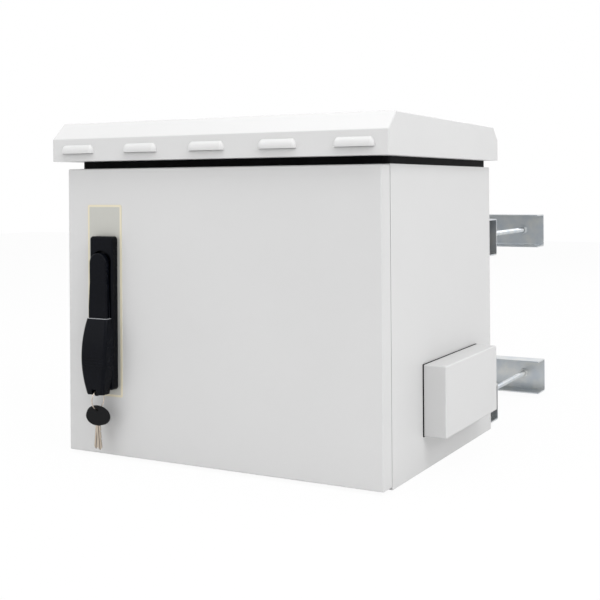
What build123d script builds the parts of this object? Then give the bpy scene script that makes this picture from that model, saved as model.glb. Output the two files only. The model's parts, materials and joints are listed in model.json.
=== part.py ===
from build123d import *
from math import sqrt
import os

# Outdoor rack cabinet for a wall or a pole, in folded sheet steel, with a hinged door and a rain roof.
# Millimetres. X runs to the right as seen from the front, Y to the back and Z up.
# The origin is the centre of the cabinet's underside.

# Sheet metal
WALL = 1.5
BEND = 3.0
FIT = 0.3
PIN_FIT = 0.05

# Cabinet body
WIDTH = 600.0
BODY_DEPTH = 468.0
BODY_HEIGHT = 495.0
PAN_FLANGE = 18.0

# Opening in the front: a flange all round, with a gutter lip that reaches forward into the door
RIM_WIDTH = 27.0
RIM_LEG = 20.0

# Door
DOOR_THICKNESS = 30.0
DOOR_SEAM = 2.0
DOOR_FOOT = 4.0
DOOR_HEAD = 1.0
DOOR_RETURN = 15.0
DOOR_CORNER = 2.0
DOOR_BEND = 2.5
DOOR_GASKET_WIDTH = 12.0
DOOR_GASKET_HEIGHT = 11.2
STIFFENER_WIDTH = 40.0
STIFFENER_DEPTH = 12.0
STIFFENER_FLANGE = 12.0
STIFFENER_MARGIN = 60.0

# Hinges, hidden inside the door
HINGE_INSET = 6.0
HINGE_SETBACK = 14.0
HINGE_PIN_RADIUS = 2.5
HINGE_KNUCKLE_RADIUS = 4.0
HINGE_KNUCKLE_HEIGHT = 20.0
HINGE_GAP = 0.5
HINGE_ARM_THICKNESS = 2.0
HINGE_MARGIN = 85.0
HINGE_NOTCH = 4.0

# Roof
ROOF_SIDE_OVERHANG = 20.0
ROOF_FRONT_OVERHANG = 17.5
ROOF_BACK_INSET = 10.0
ROOF_GAP = 12.2
ROOF_FASCIA = 38.6
ROOF_FRONT_RUN = 29.5
ROOF_BACK_RUN = 25.0
ROOF_RISE = 28.6
ROOF_FALL = 4.5
ROOF_SEAL_INSET = 4.0
ROOF_SEAL_WIDTH = 18.0
ROOF_SEAL_CORNER = 10.0
ROOF_TRAY_LAND = 34.0
ROOF_BOLT_INSET = 40.0
ROOF_BOLT_RADIUS = 3.0
ROOF_SPACER_RADIUS = 6.0

# Louvres pressed out of the roof's front
LOUVRE_COUNT = 5
LOUVRE_PITCH = 131.5
LOUVRE_LENGTH = 68.0
LOUVRE_HEIGHT = 15.0
LOUVRE_DEPTH = 6.5
LOUVRE_SILL = 13.0
LOUVRE_CROWN_OUT = 0.82
LOUVRE_CROWN_UP = 0.62

# Ventilation slots
SLOT_WIDTH = 5.0
SLOT_PITCH = 12.0
TOP_SLOT_LENGTH = 110.0
TOP_SLOT_COUNT = 12
TOP_SLOT_OFFSET = 90.0
SIDE_SLOT_LENGTH = 72.0
SIDE_SLOT_COUNT = 15

# Vent hood low on the right side
HOOD_LENGTH = 256.0
HOOD_HEIGHT = 116.0
HOOD_DEPTH = 40.0
HOOD_CENTRE_Y = 19.0
HOOD_CENTRE_Z = 113.5
HOOD_BEND = 2.0
HOOD_RETURN = 14.0
HOOD_GASKET = 2.0
HOOD_GASKET_RIM = 4.0
HOOD_SLOT_LENGTH = 22.0
HOOD_SLOT_COUNT = 14
HOOD_SLOT_PITCH = 15.0
STUD_RADIUS = 2.5
STUD_REACH = 8.0
STUD_NUT_FLATS = 8.0
STUD_NUT = 4.0
FILTER_MARGIN = 12.0
FILTER_THICKNESS = 10.0
FILTER_FRAME_WALL = 2.0
FILTER_BAR_COUNT = 4

# Cable entry in the base
ENTRY_LENGTH = 300.0
ENTRY_WIDTH = 84.0
ENTRY_SETBACK = 84.0
GLAND_LAND = 18.0
GLAND_PLATE_THICKNESS = 2.0
GLAND_GASKET_THICKNESS = 2.0
GROMMET_COUNT = 3
GROMMET_PITCH = 88.0
GROMMET_HOLE_RADIUS = 25.0
GROMMET_LIP = 4.0
GROMMET_SKIN = 1.5
DRAIN_RADIUS = 4.0
DRAIN_INSET = 45.0

# Nineteen inch rails: hole columns, units of height and square cage nut holes
RACK_UNIT = 44.45
RACK_UNITS = 9
RACK_HOLE_SPACING = 465.1
RACK_HOLE = 9.5
RACK_HOLE_FROM_EDGE = 7.9
RACK_HOLE_STEP = 15.9
RAIL_THICKNESS = 2.0
RAIL_FACE = 22.0
RAIL_LEG = 30.0
RAIL_MARGIN = 10.0
FRONT_RAIL_Y = -180.0
REAR_RAIL_Y = 150.0
SUPPORT_HEIGHT = 34.0
SUPPORT_LENGTH = 400.0
SUPPORT_MARGIN = 10.0
SUPPORT_SLOT = 7.0
SUPPORT_SLOT_LENGTH = 44.0
RAIL_SCREW_RADIUS = 3.0
RAIL_SCREW_FLATS = 10.0
HEAD_SHARE = 1.3
NUT_SHARE = 1.6

# Earth stud
EARTH_STUD_RADIUS = 4.0
EARTH_STUD_LENGTH = 22.0
EARTH_STUD_Y = -120.0
EARTH_STUD_Z = 70.0

# Swing handle
HANDLE_INSET = 83.0
SWIVEL_HEIGHT = 333.0
LABEL_WIDTH = 72.5
LABEL_HEIGHT = 328.0
LABEL_THICKNESS = 0.8
LABEL_SHIFT = -3.0
LABEL_BELOW = 229.0
HANDLE_BASE_WIDTH = 48.0
HANDLE_BASE_HEIGHT = 261.0
HANDLE_BASE_BELOW = 215.5
HANDLE_BASE_FACE = 15.0
HANDLE_BASE_CORNER = 6.0
WELL_RADIUS = 21.5
WELL_FLOOR = 4.0
NEST_DEPTH = 3.0
NEST_WIDTH = 40.0
NEST_MARGIN = 12.0
HANDLE_EDGE = 3.0
HUB_RADIUS = 20.0
HUB_THICKNESS = 2.0
LEVER_PIN_DEPTH = 11.4
LEVER_PIN_RADIUS = 2.0
LEVER_LUG_WIDTH = 12.0
LEVER_EAR_WIDTH = 5.0
LEVER_EAR_RADIUS = 4.4
LEVER_BACK = 16.2
LEVER_FRONT = 25.0
LEVER_EDGE = 2.2
LEVER_TOP_HALF = 17.5
LEVER_WAIST_HALF = 20.0
LEVER_SLIM_HALF = 13.0
LEVER_STRAIGHT = 33.0
LEVER_WAIST = 75.0
LEVER_STEP = 133.0
LEVER_FOOT = 209.0
EYE_DROP = 10.0
EYE_WIDTH = 9.0
EYE_RADIUS = 2.4
EYE_BACK = 21.0
EYE_FRONT = 29.0
GROOVE_DEPTH = 2.0
GROOVE_BACK = 19.3
GROOVE_FRONT = 22.7
COVER_TOP = 93.0
COVER_BULGE = 157.0
COVER_BOTTOM = 221.0
COVER_TOP_HALF = 22.0
COVER_BULGE_HALF = 26.0
COVER_BOTTOM_HALF = 17.5
COVER_TOP_FRONT = 28.5
COVER_BULGE_FRONT = 40.0
COVER_BOTTOM_FRONT = 35.0
COVER_CAVITY_STEP = 181.0
COVER_NOTCH = 9.0
COVER_FIT = 0.4
COVER_ROUND = 6.0
COVER_SECTIONS = 4
GRIP_RIDGE_COUNT = 4
GRIP_RIDGE_PITCH = 5.0
GRIP_RIDGE_TOP = 160.0
GRIP_RIDGE_RADIUS = 1.5
LOCK_DROP = 193.0
LOCK_RADIUS = 8.5
LOCK_FACE = 30.0
LOCK_BOSS_WALL = 2.5
LOCK_BACK = 16.6
KEYWAY_WIDTH = 2.4
KEYWAY_HEIGHT = 9.0
KEYWAY_DEPTH = 8.0

# Latch behind the handle
SPINDLE_SIDE = 8.0
SPINDLE_HOLE_RADIUS = 7.0
CAM_THICKNESS = 3.0
CAM_HUB_RADIUS = 11.0
CAM_TIP_HALF = 7.0
CAM_CLEARANCE = 1.5
CAM_BEHIND_RIM = 3.5
CLAMP_PLATE_LENGTH = 74.0
CLAMP_PLATE_WIDTH = 40.0
CLAMP_PLATE_THICKNESS = 2.0
CLAMP_DROP = 150.0
CLAMP_SCREW_PITCH = 50.0
CLAMP_SCREW_RADIUS = 2.5
CLAMP_SCREW_DEPTH = 10.0
NECK_RADIUS = 9.5
NECK_LENGTH = 8.0
RING_NUT_RADIUS = 15.0
RING_NUT_THICKNESS = 4.0
CAM_SCREW_HEAD = 4.0

# Keys on their ring
RING_RADIUS = 16.0
RING_WIRE_RADIUS = 0.9
KEY_HEAD_WIDTH = 50.0
KEY_HEAD_HEIGHT = 33.0
KEY_HEAD_THICKNESS = 3.0
KEY_HOLE_RADIUS = 2.6
KEY_HOLE_EDGE = 6.5
KEY_BLADE_LENGTH = 41.0
KEY_BLADE_WIDTH = 8.0
KEY_BLADE_THICKNESS = 2.0
KEY_GAP = 0.8
KEY_CUT_COUNT = 6
KEY_CUT_DEPTH = 2.4
KEY_TURN = 5.0

# Pole clamp: two pairs of channels, drawn together by threaded rods
CHANNEL_INSET = 3.0
CHANNEL_HEIGHT = 70.0
CHANNEL_DEPTH = 50.0
CHANNEL_SHEET = 2.5
CHANNEL_BEND = 4.0
CHANNEL_LOW_Z = 43.0
CHANNEL_HIGH_Z = 361.0
CLAMP_GAP = 279.0
ROD_RADIUS = 5.0
ROD_INSET = 50.0
ROD_BEFORE = 24.0
ROD_BEYOND = 24.0
NUT_ACROSS_FLATS = 17.0
NUT_THICKNESS = 8.0
WASHER_RADIUS = 10.0
WASHER_THICKNESS = 2.0
ROD_HOLE_CLEARANCE = 0.6
NUT_FIT = 0.1
WALL_BOLT_X = 120.0
WALL_BOLT_RADIUS = 4.0
WALL_BOLT_FLATS = 13.0

# Planes and edges that several pieces share
HALF = WIDTH / 2
FRONT_Y = -BODY_DEPTH / 2
BACK_Y = BODY_DEPTH / 2
DOOR_REAR_Y = FRONT_Y - DOOR_SEAM
DOOR_FACE_Y = DOOR_REAR_Y - DOOR_THICKNESS
DOOR_INNER_Y = DOOR_FACE_Y + WALL
DOOR_HEIGHT = BODY_HEIGHT - DOOR_FOOT - DOOR_HEAD
DOOR_CENTRE_Z = DOOR_FOOT + DOOR_HEIGHT / 2
LIP_TIP_Y = DOOR_INNER_Y + DOOR_GASKET_HEIGHT + FIT
RIM_CENTRE_Z = BODY_HEIGHT / 2
RIM_OPEN_WIDTH = WIDTH - 2 * RIM_WIDTH
RIM_OPEN_HEIGHT = BODY_HEIGHT - 2 * RIM_WIDTH
HINGE_X = HALF - HINGE_INSET
HINGE_Y = DOOR_REAR_Y - HINGE_SETBACK
HINGE_HEIGHTS = {"lower": HINGE_MARGIN, "upper": BODY_HEIGHT - HINGE_MARGIN}
HANDLE_X = HANDLE_INSET - HALF
ROOF_BOTTOM_Z = BODY_HEIGHT + ROOF_GAP
ROOF_HALF = HALF + ROOF_SIDE_OVERHANG
ROOF_FRONT_Y = DOOR_FACE_Y - ROOF_FRONT_OVERHANG
ROOF_BACK_Y = BACK_Y - ROOF_BACK_INSET
ENTRY_CENTRE_Y = BACK_Y - ENTRY_SETBACK
CHANNEL_LENGTH = WIDTH - 2 * CHANNEL_INSET
ROD_X = HALF - ROD_INSET
FRONT_WEB_Y = BACK_Y + CHANNEL_DEPTH
REAR_FLANGE_Y = FRONT_WEB_Y + CLAMP_GAP
REAR_WEB_Y = REAR_FLANGE_Y + CHANNEL_DEPTH
CHANNEL_HEIGHTS = {"lower": CHANNEL_LOW_Z, "upper": CHANNEL_HIGH_Z}
RAIL_INNER_X = RACK_HOLE_SPACING / 2 - RACK_HOLE_FROM_EDGE
SIDES = {"left": -1, "right": 1}

nodes = {}


def block(x_low, x_high, y_low, y_high, z_low, z_high):
    """A plain block between two corners, for cutting and for straight bars."""
    centre = ((x_low + x_high) / 2, (y_low + y_high) / 2, (z_low + z_high) / 2)
    return Pos(*centre) * Box(x_high - x_low, y_high - y_low, z_high - z_low)


def rod(radius, start, end):
    """A round bar from one point to another."""
    path = Vector(*end) - Vector(*start)
    return extrude(Plane(start, z_dir=path) * Circle(radius), path.length)


def frame_ring(plane, outer_width, outer_height, inner_width, inner_height, thickness, corner):
    """A flat rectangular ring with rounded outer corners, raised from a plane."""
    face = RectangleRounded(outer_width, outer_height, corner) - Rectangle(inner_width, inner_height)
    return extrude(plane * face, thickness)


def folded_sheet(plane, corners, thickness, bend, length):
    """A strip of sheet bent along its outer corners, with the wall on the left of the path."""
    outside = FilletPolyline(*corners, radius=bend)
    section = make_face(offset(outside, amount=thickness, side=Side.LEFT))
    return extrude(plane * section, length)


def copies(sketch, places):
    """One sketch made of copies of another at several places."""
    return Sketch() + [place * sketch for place in places]


def slot_rows(plane, count, pitch, slot_length, slot_width, depth):
    """A row of parallel slots across the local X of a plane, for cutting."""
    slot = SlotOverall(slot_length, slot_width, rotation=90)
    return extrude(plane * copies(slot, GridLocations(pitch, 1, count, 1)), depth, both=True)


def hexagon(across_flats, thickness, bore_radius, start, direction):
    """A hexagon nut, or a bolt head where the bore is nought."""
    face = RegularPolygon(across_flats / 2, 6, major_radius=False)
    if bore_radius:
        face -= Circle(bore_radius)
    return extrude(Plane(start, z_dir=direction) * face, thickness)


def washer(radius, bore_radius, thickness, start, direction):
    """A flat washer."""
    return extrude(Plane(start, z_dir=direction) * (Circle(radius) - Circle(bore_radius)), thickness)


def pan_head(radius, height, start, direction):
    """A pan head with a chamfered rim."""
    plane = Plane(start, z_dir=direction)
    head = extrude(Plane.XY * Circle(radius), height)
    rim = head.edges().filter_by(GeomType.CIRCLE).sort_by(Axis.Z)[-1]
    return plane * chamfer(rim, height / 3)


def door_plane(distance):
    """An upright plane in front of the door's face, seen from the front: X to the right and Z up."""
    return Plane((0, DOOR_FACE_Y - distance, 0), x_dir=(1, 0, 0), z_dir=(0, -1, 0))


def front_plane(y):
    """An upright plane at a depth, seen from the front."""
    return Plane((0, y, 0), x_dir=(1, 0, 0), z_dir=(0, -1, 0))


# Cabinet body: one sheet wraps the left side, the back and the right side
def roof_bolt_places():
    """Centres of the four bolts that hold the roof down, as X and Y."""
    half_x = HALF - ROOF_BOLT_INSET
    y_low = FRONT_Y + ROOF_BOLT_INSET
    y_high = ROOF_BACK_Y - ROOF_BOLT_INSET
    return [(x, y) for x in (-half_x, half_x) for y in (y_low, y_high)]


def hood_stud_places():
    """Centres of the studs that hold the vent hood, as Y and Z."""
    half_y = HOOD_LENGTH / 2 - HOOD_RETURN / 2
    half_z = HOOD_HEIGHT / 2 - HOOD_RETURN / 2
    return [(HOOD_CENTRE_Y + y, HOOD_CENTRE_Z + z) for y in (-half_y, half_y) for z in (-half_z, half_z)]


def body_shell():
    """The wrap of left side, back and right side, with vent slots and fixing holes."""
    corners = [(HALF, FRONT_Y), (HALF, BACK_Y), (-HALF, BACK_Y), (-HALF, FRONT_Y)]
    shell = folded_sheet(Plane.XY, corners, WALL, BEND, BODY_HEIGHT)
    vent = Plane((HALF, HOOD_CENTRE_Y, HOOD_CENTRE_Z), x_dir=(0, 1, 0), z_dir=(1, 0, 0))
    shell -= slot_rows(vent, SIDE_SLOT_COUNT, SLOT_PITCH, SIDE_SLOT_LENGTH, SLOT_WIDTH, 2 * WALL)
    for y, z in hood_stud_places():
        shell -= rod(STUD_RADIUS + FIT, (HALF - 2 * WALL, y, z), (HALF + WALL, y, z))
    for z in CHANNEL_HEIGHTS.values():
        for x in (-WALL_BOLT_X, WALL_BOLT_X):
            shell -= rod(WALL_BOLT_RADIUS + PIN_FIT, (x, BACK_Y - 2 * WALL, z), (x, BACK_Y + WALL, z))
    return shell


def body_pan(z_outside, up):
    """A flat pan that closes the top or the bottom, with flanges turned into the body."""
    inner_half = HALF - WALL
    depth = BODY_DEPTH - 2 * WALL
    face = RectangleRounded(2 * inner_half, depth, BEND - WALL)
    blank = extrude(Plane((0, 0, z_outside)) * face, up * PAN_FLANGE)
    hollow = Rectangle(2 * (inner_half - WALL), depth - 2 * WALL)
    blank -= extrude(Plane((0, 0, z_outside + up * WALL)) * hollow, up * PAN_FLANGE)
    frame_leg = block(-HALF, HALF, FRONT_Y - WALL, FRONT_Y + RIM_LEG + FIT, WALL, PAN_FLANGE + WALL)
    turned = frame_leg if up > 0 else mirror(frame_leg, Plane.XY)
    return blank - Pos(0, 0, z_outside) * turned


def top_panel():
    """The top pan, with two fields of slots that let warm air up into the roof."""
    pan = body_pan(BODY_HEIGHT, -1)
    for y in (-TOP_SLOT_OFFSET, TOP_SLOT_OFFSET):
        field = Plane((0, y, BODY_HEIGHT))
        pan -= slot_rows(field, TOP_SLOT_COUNT, 2 * SLOT_PITCH, TOP_SLOT_LENGTH, SLOT_WIDTH, 2 * WALL)
    for x, y in roof_bolt_places():
        pan -= rod(ROOF_BOLT_RADIUS + PIN_FIT, (x, y, BODY_HEIGHT - 2 * WALL), (x, y, BODY_HEIGHT + WALL))
    return pan


def gland_screw_places():
    """Centres of the screws round the gland plate, as X and Y."""
    half_x = (ENTRY_LENGTH + GLAND_LAND) / 2
    half_y = (ENTRY_WIDTH + GLAND_LAND) / 2
    return [(x, ENTRY_CENTRE_Y + y) for x in (-half_x, 0, half_x) for y in (-half_y, half_y)]


def base_panel():
    """The bottom pan, with the cable entry and four drain holes."""
    pan = body_pan(0, 1)
    entry = Pos(0, ENTRY_CENTRE_Y) * RectangleRounded(ENTRY_LENGTH, ENTRY_WIDTH, BEND)
    pan -= extrude(entry, 2 * WALL, both=True)
    for x, y in gland_screw_places():
        pan -= rod(STUD_RADIUS + PIN_FIT, (x, y, -WALL), (x, y, 2 * WALL))
    drain_x = HALF - DRAIN_INSET
    drain_y = BODY_DEPTH / 2 - DRAIN_INSET
    for x, y in [(-drain_x, -drain_y), (drain_x, -drain_y), (-drain_x, drain_y), (drain_x, drain_y)]:
        pan -= rod(DRAIN_RADIUS, (x, y, -WALL), (x, y, 2 * WALL))
    return pan


def front_frame():
    """The welded frame of the opening: a leg inside the walls, a flange and a gutter lip."""
    outer_width = WIDTH - 2 * WALL
    outer_height = BODY_HEIGHT - 2 * WALL
    plane = front_plane(FRONT_Y) * Pos(0, RIM_CENTRE_Z)
    flange = frame_ring(plane, outer_width, outer_height, RIM_OPEN_WIDTH, RIM_OPEN_HEIGHT, -WALL, WALL)
    leg = frame_ring(plane, outer_width, outer_height, outer_width - 2 * WALL, outer_height - 2 * WALL,
                     -RIM_LEG, WALL)
    lip_width = RIM_OPEN_WIDTH + 2 * WALL
    lip_height = RIM_OPEN_HEIGHT + 2 * WALL
    lip = frame_ring(plane, lip_width, lip_height, RIM_OPEN_WIDTH, RIM_OPEN_HEIGHT,
                     FRONT_Y - LIP_TIP_Y, WALL)
    return flange + leg + lip


nodes["body_shell"] = body_shell()
nodes["top_panel"] = top_panel()
nodes["base_panel"] = base_panel()
nodes["front_frame"] = front_frame()


# Cable entry: a removable plate on a gasket, with three blind rubber grommets
def gland_sheet(z_low, thickness, opening):
    """A flat plate over the cable entry with its screw holes."""
    face = RectangleRounded(ENTRY_LENGTH + 2 * GLAND_LAND, ENTRY_WIDTH + 2 * GLAND_LAND, BEND)
    sheet = extrude(Pos(0, ENTRY_CENTRE_Y, z_low) * (face - opening), thickness)
    for x, y in gland_screw_places():
        sheet -= rod(STUD_RADIUS + PIN_FIT, (x, y, z_low - 1), (x, y, z_low + thickness + 1))
    return sheet


GLAND_GASKET_Z = WALL
GLAND_PLATE_Z = GLAND_GASKET_Z + GLAND_GASKET_THICKNESS
GLAND_TOP_Z = GLAND_PLATE_Z + GLAND_PLATE_THICKNESS


def cable_grommets():
    """Three rubber grommets, each a grooved ring closed by a thin skin that is cut for the cable."""
    neck = GROMMET_HOLE_RADIUS - PIN_FIT
    inner = GROMMET_HOLE_RADIUS - GROMMET_LIP
    outer = GROMMET_HOLE_RADIUS + GROMMET_LIP
    low = GLAND_PLATE_Z - GROMMET_SKIN
    high = GLAND_TOP_Z + GROMMET_LIP
    half_section = Polygon((0, low), (outer, low), (outer, GLAND_PLATE_Z), (neck, GLAND_PLATE_Z),
                           (neck, GLAND_TOP_Z), (outer, GLAND_TOP_Z), (inner + 1, high),
                           (inner, high), (inner, low + GROMMET_SKIN), (0, low + GROMMET_SKIN), align=None)
    grommet = revolve(Plane.XZ * half_section, Axis.Z)
    return Compound([Pos(index * GROMMET_PITCH, ENTRY_CENTRE_Y) * grommet for index in grommet_steps()])


def grommet_steps():
    """Positions of the grommets along the plate, counted in pitches from its middle."""
    return [index - (GROMMET_COUNT - 1) / 2 for index in range(GROMMET_COUNT)]


def gland_screws():
    """Pan head screws that hold the gland plate down, each with its thread in the base."""
    screws = []
    for x, y in gland_screw_places():
        shank = rod(STUD_RADIUS, (x, y, WALL / 2), (x, y, GLAND_TOP_Z))
        screws.append(shank + pan_head(2 * STUD_RADIUS, STUD_RADIUS, (x, y, GLAND_TOP_Z), (0, 0, 1)))
    return Compound(screws)


grommet_holes = [Pos(step * GROMMET_PITCH, 0) * Circle(GROMMET_HOLE_RADIUS) for step in grommet_steps()]
nodes["gland_gasket"] = gland_sheet(GLAND_GASKET_Z, GLAND_GASKET_THICKNESS,
                                    RectangleRounded(ENTRY_LENGTH, ENTRY_WIDTH, BEND))
nodes["gland_plate"] = gland_sheet(GLAND_PLATE_Z, GLAND_PLATE_THICKNESS, Sketch() + grommet_holes)
nodes["cable_grommets"] = cable_grommets()
nodes["gland_screws"] = gland_screws()

# Nineteen inch rails on four supports
RAIL_LOW_Z = RAIL_MARGIN
RAIL_HIGH_Z = BODY_HEIGHT - RAIL_MARGIN
RACK_LOW_Z = (BODY_HEIGHT - RACK_UNITS * RACK_UNIT) / 2
RAIL_OUTER_X = RAIL_INNER_X + RAIL_FACE
SUPPORT_HEIGHTS = {"lower": RAIL_LOW_Z + SUPPORT_HEIGHT / 2 + SUPPORT_MARGIN,
                   "upper": RAIL_HIGH_Z - SUPPORT_HEIGHT / 2 - SUPPORT_MARGIN}


def rack_rail(side, y_face, toward_back):
    """An angle rail: a face with square holes, three to a unit, and a leg that bolts to the supports."""
    inner, outer = side * RAIL_INNER_X, side * RAIL_OUTER_X
    leg_y = y_face + toward_back * RAIL_LEG
    corners = [(inner, y_face), (outer, y_face), (outer, leg_y)]
    if side * toward_back < 0:
        corners.reverse()
    rail = folded_sheet(Plane((0, 0, RAIL_LOW_Z)), corners, RAIL_THICKNESS, BEND, RAIL_HIGH_Z - RAIL_LOW_Z)
    middle = RACK_LOW_Z + RACK_UNITS * RACK_UNIT / 2
    hole_x = side * RACK_HOLE_SPACING / 2
    for offset_z in (-RACK_HOLE_STEP, 0, RACK_HOLE_STEP):
        face = Plane((hole_x, y_face, middle + offset_z), x_dir=(1, 0, 0), z_dir=(0, -1, 0))
        holes = copies(Rectangle(RACK_HOLE, RACK_HOLE), GridLocations(1, RACK_UNIT, 1, RACK_UNITS))
        rail -= extrude(face * holes, 2 * RAIL_THICKNESS, both=True)
    for z in SUPPORT_HEIGHTS.values():
        y = y_face + toward_back * RAIL_LEG / 2
        rail -= rod(RAIL_SCREW_RADIUS + PIN_FIT, (inner, y, z), (outer + side, y, z))
    return rail


def rail_support(side, z):
    """A channel from front to back, with its web at the rails and its two flanges welded to the wall."""
    crown = side * RAIL_OUTER_X
    wall_x = side * (HALF - WALL)
    half = SUPPORT_HEIGHT / 2
    corners = [(wall_x, z - half), (crown, z - half), (crown, z + half), (wall_x, z + half)]
    if side > 0:
        corners.reverse()
    plane = front_plane(SUPPORT_LENGTH / 2)
    support = folded_sheet(plane, corners, WALL, BEND, SUPPORT_LENGTH)
    for y_face, toward_back in RAIL_PLACES.values():
        y = y_face + toward_back * RAIL_LEG / 2
        slot = SlotOverall(SUPPORT_SLOT_LENGTH, SUPPORT_SLOT)
        side_plane = Plane((crown, y, z), x_dir=(0, 1, 0), z_dir=(1, 0, 0))
        support -= extrude(side_plane * slot, 2 * WALL, both=True)
    return support


def fastener(start, direction, radius, flats, grip, spare):
    """A hexagon bolt with its head at the start, and its washer and nut at the end of the grip."""
    axis = Vector(*direction)
    begin = Vector(*start)
    head, thickness = radius * HEAD_SHARE, radius * NUT_SHARE
    shank = rod(radius, begin, begin + axis * (grip + 2 * WALL + thickness + spare))
    bolt = hexagon(flats, head, 0, begin - axis * head, axis) + shank
    ring = washer(flats / 2 + 1, radius + PIN_FIT, WALL, begin + axis * grip, axis)
    nut = hexagon(flats, thickness, radius + PIN_FIT, begin + axis * (grip + WALL), axis)
    return [bolt, ring, nut]


def rail_screws():
    """Bolts that hold every rail to its supports, with their nuts behind the support's web."""
    pieces = []
    for side in SIDES.values():
        for y_face, toward_back in RAIL_PLACES.values():
            for z in SUPPORT_HEIGHTS.values():
                start = (side * (RAIL_OUTER_X - RAIL_THICKNESS), y_face + toward_back * RAIL_LEG / 2, z)
                grip = RAIL_THICKNESS + WALL
                pieces += fastener(start, (side, 0, 0), RAIL_SCREW_RADIUS, RAIL_SCREW_FLATS, grip, 0)
    return Compound(pieces)


RAIL_PLACES = {"front": (FRONT_RAIL_Y, 1), "rear": (REAR_RAIL_Y, -1)}
for side_name, side in SIDES.items():
    for level, height in SUPPORT_HEIGHTS.items():
        nodes[f"rail_support_{level}_{side_name}"] = rail_support(side, height)
    for place, (y_face, toward_back) in RAIL_PLACES.items():
        nodes[f"rack_rail_{place}_{side_name}"] = rack_rail(side, y_face, toward_back)
nodes["rail_screws"] = rail_screws()


# Vent hood on the right side, with its gasket, and the filter inside the wall
HOOD_OUTER_X = HALF + HOOD_DEPTH
HOOD_WALL_X = HALF + HOOD_GASKET
HOOD_LOW_Z = HOOD_CENTRE_Z - HOOD_HEIGHT / 2
SIDE_WALL_PLANE = Plane((HALF, HOOD_CENTRE_Y, HOOD_CENTRE_Z), x_dir=(0, 1, 0), z_dir=(1, 0, 0))


def hood_stud_holes(x_low, x_high):
    """Clearance holes for the hood's studs through whatever lies between two planes."""
    return [rod(STUD_RADIUS + PIN_FIT, (x_low, y, z), (x_high, y, z)) for y, z in hood_stud_places()]


def vent_hood():
    """A folded box that is open to the wall, with slots in its underside and welded studs."""
    depth = HOOD_OUTER_X - HOOD_WALL_X
    plane = SIDE_WALL_PLANE * Pos(0, 0, HOOD_GASKET)
    blank = extrude(plane * RectangleRounded(HOOD_LENGTH, HOOD_HEIGHT, HOOD_BEND), depth)
    blank = fillet(blank.faces().sort_by(Axis.X)[-1].edges(), HOOD_BEND)
    hood = offset(blank, -WALL, openings=blank.faces().sort_by(Axis.X)[0])
    inner_length, inner_height = HOOD_LENGTH - 2 * WALL, HOOD_HEIGHT - 2 * WALL
    hood += frame_ring(plane, inner_length, inner_height, inner_length - 2 * HOOD_RETURN,
                       inner_height - 2 * HOOD_RETURN, WALL, WALL / 2)
    underside = Plane(((HOOD_OUTER_X + HOOD_WALL_X + HOOD_BEND) / 2, HOOD_CENTRE_Y, HOOD_LOW_Z),
                      x_dir=(0, 1, 0), z_dir=(0, 0, -1))
    hood -= slot_rows(underside, HOOD_SLOT_COUNT, HOOD_SLOT_PITCH, HOOD_SLOT_LENGTH, SLOT_WIDTH, 2 * WALL)
    for y, z in hood_stud_places():
        hood += rod(STUD_RADIUS, (HALF - STUD_REACH, y, z), (HOOD_WALL_X + WALL, y, z))
    return hood


def hood_gasket():
    """A flat rubber frame between the hood and the wall, a little larger than the hood."""
    outer_length, outer_height = HOOD_LENGTH + 2 * HOOD_GASKET_RIM, HOOD_HEIGHT + 2 * HOOD_GASKET_RIM
    gasket = frame_ring(SIDE_WALL_PLANE, outer_length, outer_height, HOOD_LENGTH - 2 * HOOD_RETURN,
                        HOOD_HEIGHT - 2 * HOOD_RETURN, HOOD_GASKET, HOOD_GASKET_RIM)
    for hole in hood_stud_holes(HALF - WALL, HOOD_WALL_X + WALL):
        gasket -= hole
    return gasket


def hood_nuts():
    """Washers and nuts on the hood's studs, inside the wall."""
    pieces = []
    for y, z in hood_stud_places():
        inside = HALF - WALL
        bore = STUD_RADIUS + PIN_FIT
        pieces.append(washer(STUD_NUT_FLATS / 2 + 1, bore, WALL / 2, (inside, y, z), (-1, 0, 0)))
        pieces.append(hexagon(STUD_NUT_FLATS, STUD_NUT, bore, (inside - WALL / 2, y, z), (-1, 0, 0)))
    return Compound(pieces)


FILTER_LENGTH = (SIDE_SLOT_COUNT - 1) * SLOT_PITCH + SLOT_WIDTH + 2 * FILTER_MARGIN
FILTER_HEIGHT = SIDE_SLOT_LENGTH + 2 * FILTER_MARGIN
FILTER_PLANE = Plane((HALF - WALL, HOOD_CENTRE_Y, HOOD_CENTRE_Z), x_dir=(0, 1, 0), z_dir=(-1, 0, 0))


def filter_frame():
    """A moulded frame on the inside of the wall, with bars that hold the filter mat."""
    frame = frame_ring(FILTER_PLANE, FILTER_LENGTH, FILTER_HEIGHT, FILTER_LENGTH - 2 * FILTER_FRAME_WALL,
                       FILTER_HEIGHT - 2 * FILTER_FRAME_WALL, FILTER_THICKNESS + FILTER_FRAME_WALL, BEND)
    bar_plane = FILTER_PLANE * Pos(0, 0, FILTER_THICKNESS)
    pitch = FILTER_LENGTH / (FILTER_BAR_COUNT + 1)
    upright = Rectangle(2 * FILTER_FRAME_WALL, FILTER_HEIGHT - FILTER_FRAME_WALL)
    bars = copies(upright, GridLocations(pitch, 1, FILTER_BAR_COUNT, 1))
    bars += Rectangle(FILTER_LENGTH - FILTER_FRAME_WALL, 2 * FILTER_FRAME_WALL)
    return frame + extrude(bar_plane * bars, FILTER_FRAME_WALL)


def filter_mat():
    """A rectangular mat of filter foam inside the frame."""
    face = Rectangle(FILTER_LENGTH - 2 * FILTER_FRAME_WALL, FILTER_HEIGHT - 2 * FILTER_FRAME_WALL)
    return extrude(FILTER_PLANE * face, FILTER_THICKNESS)


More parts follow.
